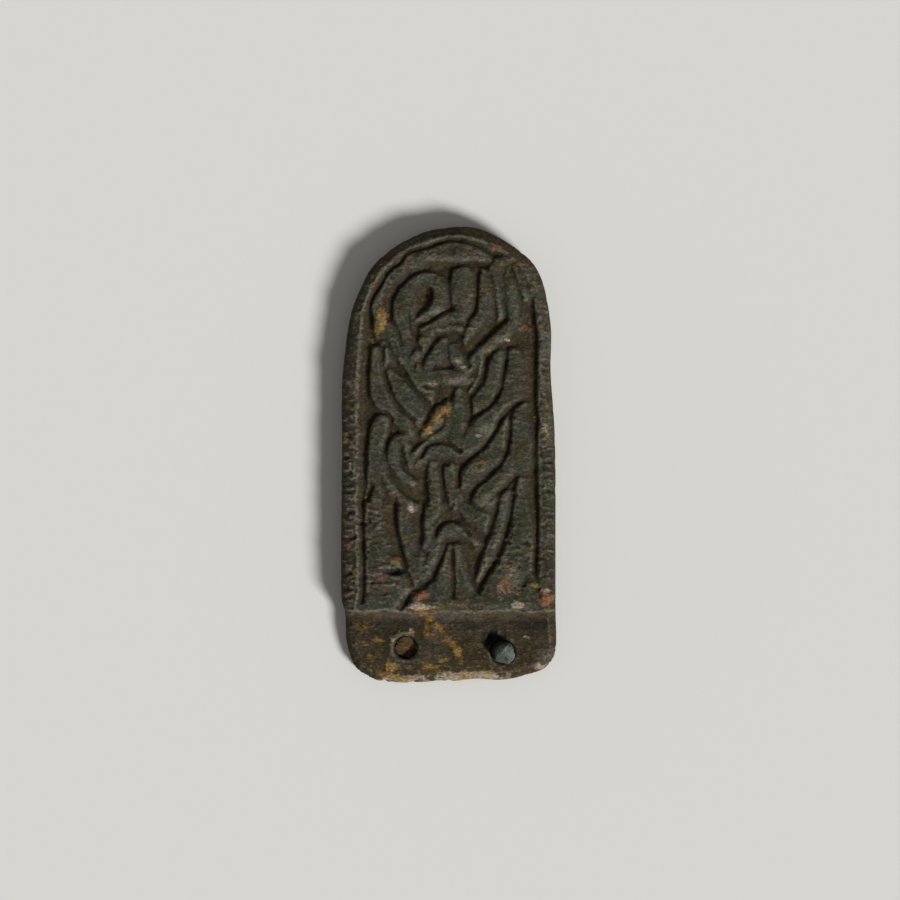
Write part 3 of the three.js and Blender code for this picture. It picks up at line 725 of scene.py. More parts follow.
    def with_ledge(self, settings, height, past_step, edge_depth):
        """Cuts the step down to the ledge, with a hollow face and a rounded foot."""
        spots = self.spots
        worn = EDGE_WEAR * (1 - ramp(edge_depth, -0.2, 1.0 + 0.35 * lumpy(spots, 1.6, 15)))
        ledge_face = self.ledge - 0.03 + uneven(spots, LEDGE_WAVES) - worn
        cove = np.clip(1 - past_step / (settings.step_run / MM), 0, 1.15)
        return soft_lower(height, ledge_face + (self.face + 0.05 - self.ledge) * cove**2, STEP_JOIN)

    def lumps_and_rims(self, settings):
        """Lumps of soil and metal, hollows, the worn rims of the holes and the burr round the left one."""
        spots = self.spots
        crumbly = 1 + 0.5 * lumpy(spots, 0.5, 16)
        rise = sum(lump * blob(spots, *spot) * crumbly for *spot, lump in LUMPS)
        for node, radius in holes(settings):
            centre = hole_centre(node)
            away = np.hypot(*(spots - centre).T)
            rise -= RIM_WEAR * (1 - ramp(away, radius, radius + RIM_WIDTH))
            if node == "left_rivet":
                turn = ((spots - centre) @ BURR_SIDE) / np.maximum(away, 1e-6)
                burr = np.exp(-((away - radius - BURR_OUT) / BURR_WIDTH) ** 2)
                rise += BURR_RISE * burr * ramp(turn, -0.1, 0.7)
        return rise

    def pits(self, settings, crust):
        """Corrosion pits, crowded where the crust is."""
        random = np.random.default_rng(23)
        cut = np.zeros(self.shape)
        size = (PLATE_HIGH - PLATE_LOW)[:2]
        crust = crust.reshape(self.shape)
        for _ in range(settings.pit_count):
            spot = PLATE_LOW[:2] + random.uniform(0, 1, 2) * size
            radius = random.uniform(0.1, 0.38)
            depth = random.uniform(0.03, 0.11)
            column, row = np.round((spot - self.origin) / self.cell).astype(int)
            depth *= 0.5 + crust[row, column]
            reach = int(radius / self.cell) + 1
            rows = slice(max(row - reach, 0), row + reach + 1)
            columns = slice(max(column - reach, 0), column + reach + 1)
            down, across = np.indices(cut[rows, columns].shape)
            away = np.hypot(down - (row - rows.start), across - (column - columns.start)) * self.cell
            cut[rows, columns] -= depth * ramp(-away / radius, -1.0, -0.3)
        return cut.ravel()


def hole_centre(node):
    """The middle of a rivet, seen from above, in millimetres."""
    low, high = (np.array(corner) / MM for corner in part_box(node))
    return ((low + high) / 2)[:2]


def holes(settings):
    """Each rivet's node, with the radius of its hole in millimetres."""
    return ("left_rivet", settings.left_hole / 2 / MM), ("right_rivet", settings.right_hole / 2 / MM)


# Meshes

def patch_grid(bottom, right, top, left):
    """Rows of points that fill four sides. Bottom and top run to the right, left and right run up."""
    across = np.linspace(0, 1, len(bottom))[None, :, None]
    up = np.linspace(0, 1, len(left))[:, None, None]
    sides = (1 - up) * bottom[None] + up * top[None] + (1 - across) * left[:, None] + across * right[:, None]
    ends = (1 - up) * ((1 - across) * bottom[0] + across * bottom[-1])
    return sides - ends - up * ((1 - across) * top[0] + across * top[-1])


def fill_loop(loop, across, along):
    """Rows of points that fill a closed loop, which starts at its lower left corner."""
    loop, cuts = rejoined(loop), np.cumsum([0, across, along, across, along])
    bottom, right, top, left = (loop[a:b + 1] for a, b in zip(cuts, cuts[1:]))
    return patch_grid(bottom, right, top[::-1], left[::-1])


def rim_of(rows, columns):
    """The indices round the rim of a grid, anticlockwise from its lower left corner."""
    index = np.arange(rows * columns).reshape(rows, columns)
    return np.concatenate((index[0, :-1], index[:-1, -1], index[-1, :0:-1], index[:0:-1, 0]))


def grid_faces(rows, columns, start=0):
    """Quads over a grid of points whose first index is start."""
    index = start + np.arange(rows * columns).reshape(rows, columns)
    quads = (index[:-1, :-1], index[:-1, 1:], index[1:, 1:], index[1:, :-1])
    return np.stack([corner.ravel() for corner in quads], axis=1)


def band_faces(low, high):
    """Quads between two loops with equal counts."""
    return np.stack((low, np.roll(low, -1), np.roll(high, -1), high), axis=1)


def circle(radius, height, steps):
    """Points round an upright axis. The radius and the height are one number, or one for each point."""
    turn = np.arange(steps) * 2 * math.pi / steps
    return np.column_stack((np.cos(turn) * radius, np.sin(turn) * radius, np.broadcast_to(height, steps)))


def make_object(name, points, faces):
    """A mesh object from points in millimetres and lists of faces."""
    mesh = bpy.data.meshes.new(name)
    faces = [face.tolist() for part in faces for face in part]
    mesh.from_pydata((np.asarray(points) * MM).tolist(), [], faces)
    mesh.validate()
    mesh.update()
    mesh.shade_smooth()
    piece = bpy.data.objects.new(name, mesh)
    bpy.context.scene.collection.objects.link(piece)
    return piece


def plate_loop(across, along):
    """Points round the plate's outline from its lower left corner, and the way inwards at each."""
    ring = even_ring(OUTLINE_PIXELS, 2400)
    ahead = np.roll(ring, -1, axis=0)
    if (ring[:, 0] * ahead[:, 1] - ring[:, 1] * ahead[:, 0]).sum() < 0:
        ring = ring[::-1]
    ahead = np.roll(ring, -6, axis=0) - np.roll(ring, 6, axis=0)
    inward = np.column_stack((-ahead[:, 1], ahead[:, 0])) / np.hypot(*ahead.T)[:, None]
    paired = np.column_stack((ring, inward))
    marks = [int(np.argmin(np.hypot(*(ring - corner).T))) for corner in place(CORNERS)]
    sides = []
    for start, end, count in zip(marks, marks[1:] + marks[:1], (across, along, across, along)):
        span = (end - start) % len(ring)
        sides.append(evenly(paired[(start + np.arange(span + 1)) % len(ring)], count + 1)[:-1])
    loop = np.vstack(sides)
    return loop[:, :2], loop[:, 2:] / np.hypot(*loop[:, 2:].T)[:, None]


def plate_mesh(settings, relief):
    """The plate without its holes: relief on the front, worn edges, a plain back."""
    across, along = settings.cells_across, settings.cells_along
    edge, inward = plate_loop(across, along)
    shoulder, fall = settings.shoulder_run / MM, settings.shoulder_fall / MM
    chamfer = settings.back_chamfer / MM
    front = fill_loop(edge + inward * shoulder, across, along)
    rows, columns = front.shape[:2]
    front = front.reshape(-1, 2)
    points = [np.column_stack((front, relief.sample("height", front)))]
    faces = [grid_faces(rows, columns)]
    last = rim_of(rows, columns)
    rim_height = points[0][last, 2]

    # Rings from the worn shoulder down the side to the chamfer, as (how far in, height).
    count, total = len(edge), len(points[0])
    levels = [
        (shoulder * (1 - math.sin(turn)), rim_height - fall * (1 - math.cos(turn)))
        for turn in np.radians((18, 36, 54, 72, 90))
    ]
    levels += [(0.0, chamfer + (rim_height - fall - chamfer) * share) for share in (0.72, 0.45, 0.2, 0.0)]
    levels.append((chamfer, np.zeros(count)))
    for step, (inset, z) in enumerate(levels):
        # Each ring is nibbled inwards, never outwards, and more at the ledge's end.
        spots = np.column_stack((edge, z))
        nibble = np.clip(uneven(spots, EDGE_WAVES), 0, None) * min(1.0, (step + 1) / 3)
        nibble *= 1 + 1.2 * ramp(-spots[:, 1], 20.5, 23.5)
        if step == len(levels) - 1:
            nibble *= 0.6
        points.append(np.column_stack((edge + inward * (inset + nibble)[:, None], z)))
        ring_index = total + np.arange(count)
        faces.append(band_faces(ring_index, last))
        last, total = ring_index, total + count

    # The back is plain, so it has one vertex for each four round its rim.
    coarse = 4
    picked = np.arange(0, count, coarse)
    back_rim = points[-1][picked, :2] + inward[picked] * 0.3
    back = fill_loop(back_rim, across // coarse, along // coarse)
    rows, columns = back.shape[:2]
    back = back.reshape(-1, 2)
    depth = ramp(inside_ring(back, back_rim)[0], 0.0, 1.5)
    lift = np.clip(depth * (0.05 + uneven(back, BACK_WAVES)), 0, None)
    points.append(np.column_stack((back, lift)))
    back_loop = total + rim_of(rows, columns)
    faces.append(grid_faces(rows, columns, total)[:, ::-1])
    strip = []
    for here in range(len(picked)):
        fine = [last[(here * coarse + offset) % count] for offset in range(coarse + 1)]
        near, far = back_loop[here], back_loop[(here + 1) % len(picked)]
        strip += [(fine[0], near, fine[1]), (fine[1], near, fine[2]), (fine[2], near, far)]
        strip += [(fine[2], far, fine[3]), (fine[3], far, fine[4])]
    faces.append(np.array(strip))
    return np.vstack(points), faces


def turned_mesh(centre, rings, steps):
    """A closed body of rings round an upright axis, each a (radius, height), from its foot up."""
    points = [circle(radii, heights, steps) + (*centre, 0) for radii, heights in rings]
    around, total = np.arange(steps), len(rings) * steps
    faces = [band_faces(low + around, low + steps + around) for low in range(0, total - steps, steps)]
    points.append([(*centre, np.mean(heights)) for _, heights in (rings[0], rings[-1])])
    last = total - steps + around
    faces.append(np.stack((np.roll(around, -1), around, np.full(steps, total)), axis=1))
    faces.append(np.stack((last, np.roll(last, -1), np.full(steps, total + 1)), axis=1))
    return np.vstack(points), faces


def cut_hole(plate, centre, radius, flare):
    """Cuts a slightly ragged hole through the plate, wider at the back for the spread tail."""
    steps = 72
    ragged = radius + uneven(circle(2.0, 0.0, steps), HOLE_WAVES)
    rings = [(radius + flare, -1.0), (radius + flare, 0.02)]
    rings += [(ragged, height) for height in (0.5, 1.2, 1.7, 6.0)]
    cutter = make_object("hole_cutter", *turned_mesh(centre, rings, steps))
    cut = plate.modifiers.new("hole", "BOOLEAN")
    cut.operation, cut.object, cut.solver = "DIFFERENCE", cutter, "EXACT"
    bpy.context.view_layer.update()
    whole = plate.evaluated_get(bpy.context.evaluated_depsgraph_get())
    mesh = bpy.data.meshes.new_from_object(whole)
    plate.modifiers.clear()
    old, plate.data = plate.data, mesh
    bpy.data.meshes.remove(old)
    shape = cutter.data
    bpy.data.objects.remove(cutter)
    bpy.data.meshes.remove(shape)


def vertices_of(piece):
    """Every vertex of a piece in millimetres."""
    values = np.empty(len(piece.data.vertices) * 3)
    piece.data.vertices.foreach_get("co", values)
    return values.reshape(-1, 3) / MM


def store_mask(piece, name, values):
    """Keeps a number for each vertex, which a material reads by name."""
    mask = piece.data.attributes.new(name, "FLOAT", "POINT")
    mask.data.foreach_set("value", np.asarray(values, np.float32))


def settle(piece, material, node):
    """Gives a finished piece its material and its body, and hides the node that it stands for."""
    piece.data.materials.clear()
    piece.data.materials.append(material)
    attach(piece, "root")
    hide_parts(node)


# Colours and materials

def linear(hex_colour):
    """An sRGB hex colour as linear red, green and blue."""
    parts = [int(hex_colour[start:start + 2], 16) / 255 for start in (1, 3, 5)]
    return tuple(p / 12.92 if p <= 0.04045 else ((p + 0.055) / 1.055) ** 2.4 for p in parts)


def colour(name, description, hex_colour):
    """A colour that a user may change."""
    return FloatVectorProperty(
        name=name, description=description, subtype="COLOR", size=3, min=0, max=1,
        default=linear(hex_colour),
    )


def length(name, description, millimetres):
    """A size that a user may change."""
    return FloatProperty(
        name=name, description=description, unit="LENGTH", precision=5, default=millimetres * MM,
    )


def angle(name, description, degrees):
    """An angle that a user may change."""
    return FloatProperty(name=name, description=description, subtype="ANGLE", default=math.radians(degrees))


def add_node(tree, kind, inputs=None, **fields):
    """Adds a node with its settings. An input that is another node's output is linked."""
    node = tree.nodes.new(kind)
    for field, value in fields.items():
        setattr(node, field, value)
    for socket, value in (inputs or {}).items():
        if isinstance(value, bpy.types.NodeSocket):
            tree.links.new(value, node.inputs[socket])
        else:
            node.inputs[socket].default_value = value
    return node


def corroded_metal(name, ground, layers, noises, masks, speckle, hues, roughness, metallic, bumps):
    """A corroded metal: a ground colour under layers that noise breaks up, with a speckle over all.

    noises are name: (size in mm, detail, stretch along x). A layer is (mask, noise, noise's weight,
    where it starts, where it is full, colour, most cover). A speckle is (noise, darkest, lightest).
    A hue is (noise, how far it tints red, green and blue). roughness is (noise, smoothest, roughest).
    bumps are (noise, height in mm).
    """
    noise_span = {"From Min": 0.3, "From Max": 0.7}
    material = bpy.data.materials.new(name)
    material.use_nodes = True
    tree = material.node_tree
    tree.nodes.clear()
    spot = add_node(tree, "ShaderNodeTexCoord").outputs["Object"]
    fields, tints = {}, {}
    for noise, (size, detail, stretch) in noises.items():
        scaled = add_node(tree, "ShaderNodeMapping", {
            "Vector": spot, "Scale": (1 / (MM * stretch), 1 / MM, 1 / MM),
        })
        pattern = add_node(tree, "ShaderNodeTexNoise", {
            "Vector": scaled.outputs["Vector"], "Scale": 1 / size, "Detail": detail, "Roughness": 0.6,
        })
        fields[noise], tints[noise] = pattern.outputs["Fac"], pattern.outputs["Color"]
    for mask in masks:
        fields[mask] = add_node(tree, "ShaderNodeAttribute", attribute_name=mask).outputs["Fac"]

    base = add_node(tree, "ShaderNodeRGB")
    base.outputs[0].default_value = (*ground, 1)
    base = base.outputs[0]
    for mask, noise, weight, start, full, tint, most in layers:
        broken = add_node(tree, "ShaderNodeMath", {
            0: fields[noise], 1: weight, 2: fields[mask] if mask else 0.0,
        }, operation="MULTIPLY_ADD")
        cover = add_node(tree, "ShaderNodeMapRange", {
            "Value": broken.outputs[0], "From Min": start, "From Max": full, "To Max": most,
        })
        base = add_node(tree, "ShaderNodeMix", {
            0: cover.outputs[0], 6: base, 7: (*tint, 1),
        }, data_type="RGBA").outputs[2]
    for noise, darkest, lightest in speckle:
        shade = add_node(tree, "ShaderNodeMapRange", {
            "Value": fields[noise], **noise_span, "To Min": darkest, "To Max": lightest,
        })
        base = add_node(tree, "ShaderNodeMix", {
            0: 1.0, 6: base, 7: shade.outputs[0],
        }, data_type="RGBA", blend_type="MULTIPLY").outputs[2]

    for noise, strengths in hues:
        tint = add_node(tree, "ShaderNodeVectorMath", {
            0: tints[noise], 1: [2 * strength for strength in strengths],
            2: [1 - strength for strength in strengths],
        }, operation="MULTIPLY_ADD")
        base = add_node(tree, "ShaderNodeVectorMath", {
            0: base, 1: tint.outputs[0],
        }, operation="MULTIPLY").outputs[0]

    normal = None
    for noise, rise in bumps:
        inputs = {"Height": fields[noise], "Distance": rise * MM, "Strength": 1.0}
        if normal:
            inputs["Normal"] = normal
        normal = add_node(tree, "ShaderNodeBump", inputs).outputs["Normal"]
    gloss_noise, smoothest, roughest = roughness
    gloss = add_node(tree, "ShaderNodeMapRange", {
        "Value": fields[gloss_noise], **noise_span, "To Min": smoothest, "To Max": roughest,
    })
    shader = add_node(tree, "ShaderNodeBsdfPrincipled", {
        "Base Color": base, "Roughness": gloss.outputs[0], "Metallic": metallic, "Normal": normal,
        "Specular IOR Level": 0.2,
    })
    add_node(tree, "ShaderNodeOutputMaterial", {"Surface": shader.outputs[0]})
    return material


# Sizes and colours that a user may change

class StrapEndPlate(bpy.types.PropertyGroup):
    ledge_height: length("Ledge height", "Thickness of the ledge that the strap lies on", 2.0)
    field_height: length("Field height", "Height of the sunk ground between the leaves", 2.78)
    leaf_height: length("Leaf height", "Height of the leaves' tops", 3.42)
    step_top: length("Step", "Where the step's upper edge lies, from the middle of the plate", -16.9)
    step_run: length("Step run", "How far the face of the step slopes out", 1.45)
    shoulder_run: length("Shoulder run", "Width of the worn shoulder round the edge", 0.65)
    shoulder_fall: length("Shoulder fall", "How far the worn shoulder falls", 0.7)
    back_chamfer: length("Back chamfer", "Chamfer round the back", 0.35)
    left_hole: length("Left hole", "Diameter of the hole that holds the snapped rivet", 2.5)
    right_hole: length("Right hole", "Diameter of the hole round the standing rivet", 2.58)
    hole_flare: length("Hole flare", "How much wider each hole is at the back", 0.4)
    map_cell: length("Relief step", "Cell of the map that the relief is worked out on", 0.07)
    leaf_spread: FloatProperty(name="Leaf spread", description="Widens every leaf", default=1.12)
    steep_run: length("Steep walls", "Width of the walls that face away from the photograph's lamp", 0.55)
    gentle_run: length("Gentle walls", "Width of the walls that face the photograph's lamp", 0.85)
    wear: length("Wear", "How far wear has rounded the relief", 0.19)
    pit_count: IntProperty(name="Pits", description="How many corrosion pits the front has", default=1500)
    cells_across: IntProperty(name="Cells across", description="Mesh cells across the plate", default=204)
    cells_along: IntProperty(name="Cells along", description="Mesh cells along the plate", default=368)
    leaf_colour: colour("Leaf tops", "Blue-grey patina on the raised leaves", "#38392d")
    green_colour: colour("Green patina", "Greener patina in clouds", "#2c3221")
    rosy_colour: colour("Rosy patina", "Pinkish brown where red oxide shows through", "#43362a")
    channel_colour: colour("Channels", "Tan and brown ground of the channels", "#33291b")
    ledge_colour: colour("Ledge", "Olive-brown of the ledge", "#312915")
    brown_colour: colour("Brown streaks", "Brown streaks along the ledge", "#3b2e1e")
    grey_colour: colour("Grey patches", "Grey patches on the ledge", "#35342b")
    # Tan stain, which also paints light on the step and on lit slopes.
    tan_and_light_colour: colour("Tan stain", "Tan stain of soil that has been cleaned off", "#4b4032")
    olive_colour: colour("Olive stain", "Yellowish olive flecks and stains", "#363013")
    # Dark patina, also used for painted shade on the dark patches.
    dull_and_shade_colour: colour("Dull patina", "Dark olive-brown where the patina is thick", "#1e1b11")
    # Pale wear, also used for painted light and highlights.
    worn_and_light_colour: colour("Worn edges", "Pale grains and rubbed edges", "#625d4e")
    # Dark dirt, also used for painted shade in grooves and dark patches.
    dirt_and_shade_colour: colour("Dirt", "Dark dirt in the corners", "#1b170b")
    soil_colour: colour("Soil", "Ochre soil", "#735826")
    red_colour: colour("Red oxide", "Red copper oxide", "#784f39")
    # Pale crust, also used for painted glints.
    chalk_and_glint_colour: colour("Chalk", "Pale pink and white crust", "#8f806d")


class StrapEndRivets(bpy.types.PropertyGroup):
    stump_top: length("Stump top", "Height at which the left rivet snapped", 1.4)
    stump_tilt: FloatProperty(
        name="Stump tilt", description="How steeply the snapped face rises", default=0.34,
    )
    stub_top: length("Stub top", "Height of the right rivet's worn top", 3.0)
    stump_colour: colour("Stump", "Brown corrosion of the snapped rivet", "#46331c")
    stump_soil: colour("Stump soil", "Ochre soil on the snapped rivet", "#6a5130")
    stub_colour: colour("Stub", "Grey-green corrosion of the standing rivet", "#4b5148")
    stub_pale: colour("Stub pale", "Pale blue-grey patches of the standing rivet", "#717970")
    # Dark green stain, also used for painted shade on the side away from the lamp.
    stub_green_and_shade: colour("Stub green", "Dark green stain of the standing rivet", "#24271a")


class StrapEndStage(bpy.types.PropertyGroup):
    floor_colour: colour("Floor", "Plain pale floor", "#dddbd6")
    key_strength: FloatProperty(name="Key light", description="Strength of the lamp", default=3.95)
    key_turn: angle("Key direction", "Where the lamp stands, turned from +X", -42)
    key_height: angle("Key height", "The lamp's height over the floor, as an angle", 35)
    key_softness: angle("Key softness", "How wide the lamp looks from the object", 17)
    fill_strength: FloatProperty(
        name="Fill light", description="Strength of the even light all round", default=0.2,
    )
    camera_height: length("Camera height", "Height of the camera over the floor", 450.0)
    frame_width: length("Frame width", "Width of the photograph at the object's face", 98.25)


# Operators

class STRAPEND_OT_cast_plate(bpy.types.Operator):
    """Builds the cast plate with its relief, step, ledge and rivet holes"""
    bl_idname = "strapend.cast_plate"
    bl_label = "Cast Plate"

    def execute(self, context):
        settings = context.scene.strap_end_plate
        relief = ReliefMap(settings)
        plate = make_object("strap_end_plate", *plate_mesh(settings, relief))
        for node, radius in holes(settings):
            cut_hole(plate, hole_centre(node), radius, settings.hole_flare / MM)
        plate.data.shade_smooth()
        spots = vertices_of(plate)
        on_front = ramp(spots[:, 2] - relief.sample("height", spots), -0.35, -0.1)
        for name in ("ledge", "hollow", "crest", "groove", "rough", *PATCHES):
            store_mask(plate, name, relief.sample(name, spots) * on_front)
        store_mask(plate, "side", 1 - on_front)
        settle(plate, plate_material(settings), "cast_plate")
        return {"FINISHED"}


def plate_material(settings):
    # Cast leaded bronze, buried for centuries. The casting is a little uneven, the raised parts have a
    # tight blue-grey patina, the sunk parts hold brown corrosion and dirt, and soil and red oxide cling
    # in patches. It is dull, with a weak sheen on the rubbed edges. Painted light and painted glints lie on
    # lit flanks, borders, edges and the step; painted shade and shadow lie in the grooves, on slopes facing
    # away from the lamp and behind the standing rivet.
    noises = {
        "clouds": (6.0, 3.0, 1.0), "mottle": (1.7, 4.0, 1.0), "stain": (2.6, 3.0, 1.3),
        "flecks": (0.5, 4.0, 1.5), "grain": (0.16, 3.0, 2.0), "crumbs": (0.34, 3.0, 1.0),
        "streaks": (0.5, 3.0, 6.0), "grime": (0.9, 5.0, 1.2), "minerals": (0.7, 3.0, 1.0),
        "salts": (2.0, 2.0, 1.0),
    }
    layers = (
        (None, "clouds", 1.0, 0.42, 0.62, settings.green_colour, 0.75),
        (None, "stain", 1.0, 0.5, 0.66, settings.rosy_colour, 0.65),
        (None, "mottle", 1.0, 0.54, 0.66, settings.olive_colour, 0.6),
        (None, "grime", 1.0, 0.52, 0.68, settings.dull_and_shade_colour, 0.5),
        ("olive", "mottle", 2.0, 1.4, 2.0, settings.olive_colour, 0.8),
        ("hollow", "mottle", 0.7, 0.3, 0.85, settings.channel_colour, 0.95),
        ("ledge", "mottle", 0.3, 0.4, 0.9, settings.ledge_colour, 0.95),
        ("side", "mottle", 0.4, 0.3, 0.9, settings.channel_colour, 0.85),
        ("side", "stain", 1.0, 1.44, 1.7, settings.green_colour, 0.8),
        ("ledge", "streaks", 1.6, 1.7, 2.0, settings.brown_colour, 0.8),
        ("ledge", "stain", 2.0, 2.0, 2.3, settings.grey_colour, 0.7),
        ("ledge", "grime", 2.0, 2.05, 2.4, settings.dull_and_shade_colour, 0.6),
        # Tan stain and painted light on the tan patches.
        ("tan", "mottle", 1.4, 0.9, 1.6, settings.tan_and_light_colour, 0.85),
        # Painted light and pale wear on the pale patches.
        ("pale", "mottle", 1.5, 0.95, 1.7, settings.worn_and_light_colour, 0.75),
        # Painted shade and darker patina on the dark patches.
        ("dark", "mottle", 2.0, 1.1, 1.9, settings.dull_and_shade_colour, 0.8),
        ("rough", "flecks", 2.0, 1.85, 2.3, settings.rosy_colour, 0.5),
        ("rough", "crumbs", 2.0, 1.95, 2.4, settings.dull_and_shade_colour, 0.7),
        ("hollow", "flecks", 1.0, 1.35, 1.7, settings.olive_colour, 0.8),
        (None, "crumbs", 1.0, 0.62, 0.74, settings.worn_and_light_colour, 0.35),
        # Rubbed wear and painted highlight on the convex edges.
        ("crest", "flecks", 0.8, 0.5, 1.2, settings.worn_and_light_colour, 0.75),
        # Dirt and painted shade in the grooves.
        ("groove", "flecks", 0.5, 0.4, 1.2, settings.dirt_and_shade_colour, 0.7),
        # Painted light in pale flecks on the pale patches.
        ("pale", "flecks", 2.0, 1.75, 2.2, settings.worn_and_light_colour, 0.6),
        # Dirt flecks and painted shade on the dark patches.
        ("dark", "flecks", 2.0, 1.75, 2.2, settings.dirt_and_shade_colour, 0.6),
        # Painted shadow in near black on those patches.
        ("painted_shadow", "flecks", 1.0, 0.7, 1.3, linear("#0b0905"), 0.9),
        # Pale crust and painted glints on these patches.
        ("chalk_and_glints", "flecks", 2.0, 1.4, 1.8, settings.chalk_and_glint_colour, 0.95),
        ("red", "flecks", 2.4, 1.6, 2.2, settings.red_colour, 0.92),
        ("red", "crumbs", 2.4, 2.25, 2.7, settings.chalk_and_glint_colour, 0.5),
        ("soil", "flecks", 2.2, 1.45, 1.95, settings.soil_colour, 0.95),
        ("soil", "crumbs", 2.0, 1.8, 2.3, settings.chalk_and_glint_colour, 0.6),
    )
    return corroded_metal(
        "cast_bronze_burial_patina", settings.leaf_colour, layers, noises,
        ("hollow", "ledge", "side", "crest", "groove", "rough", *PATCHES),
        (("grain", 0.42, 1.62), ("crumbs", 0.85, 1.15)),
        (("minerals", (0.26, 0.16, 0.42)), ("salts", (0.3, 0.14, 0.5))),
        ("flecks", 0.65, 0.9), 0.1, (("flecks", 0.09), ("crumbs", 0.04), ("grain", 0.06)),
    )


RIVET_STEPS = 96


def hammered_tail(box):
    """The tail's radius from the rivet's box, and its profile as (radius, height) from the back up."""
    low, high = (np.array(corner) / MM for corner in box)
    radius = (high - low)[0] / 2
    return radius, [(radius - 0.12, 0.0), (radius, 0.05), (radius - 0.25, 0.32)]


class STRAPEND_OT_left_rivet(bpy.types.Operator):
    """Builds the left rivet, snapped inside its hole and packed round with brown corrosion and soil"""
    bl_idname = "strapend.left_rivet"
    bl_label = "Snapped Rivet"

    def execute(self, context):
        settings = context.scene.strap_end_rivets
        top = settings.stump_top / MM
        _, shape = hammered_tail(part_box("left_rivet"))
        shape += [
            (1.08, 0.52), (1.12, 0.9), (1.2, top - 0.25), (1.2, top - 0.08), (1.07, top), (0.85, top + 0.04),
            (0.7, top), (0.55, top + 0.03), (0.4, top - 0.02), (0.27, top + 0.02), (0.14, top), (0.05, top),
        ]
        rings = []
        for step, (radius, height) in enumerate(shape):
            spots = circle(radius, height, RIVET_STEPS)
            rough = uneven(spots, STUMP_WAVES)
            # The snapped end, from the sixth ring up, slopes and is rougher than the shank.
            if step > 4:
                lean = (spots[:, 1] * 0.75 - spots[:, 0] * 0.66) * settings.stump_tilt
                heights = np.clip(height + 0.16 * rough + lean * ramp(height, 1.0, top), 0.6, 2.0)
                rings.append((radius + 0.03 * rough * (radius > 0.9), heights))
            else:
                rings.append((radius - 0.02 + 0.02 * rough, height))
        mesh = turned_mesh(hole_centre("left_rivet"), rings, RIVET_STEPS)
        piece = make_object("left_rivet_stump", *mesh)
        # Snapped bronze rivet under brown oxide, with ochre soil packed on: dull, crumbly and speckled.
        noises = {"mottle": (0.9, 4.0, 1.0), "flecks": (0.35, 4.0, 1.0), "grain": (0.16, 3.0, 1.0)}
        layers = (
            (None, "mottle", 1.0, 0.5, 0.62, settings.stump_soil, 0.8),
            (None, "flecks", 1.0, 0.54, 0.64, linear("#1c140b"), 0.85),
        )
        material = corroded_metal(
            "snapped_bronze_brown_oxide", settings.stump_colour, layers, noises, (),
            (("grain", 0.35, 1.65),), (("flecks", (0.35, 0.2, 0.5)),), ("flecks", 0.7, 0.95), 0.1,
            (("flecks", 0.12), ("grain", 0.07)),
        )
        settle(piece, material, "left_rivet")
        return {"FINISHED"}


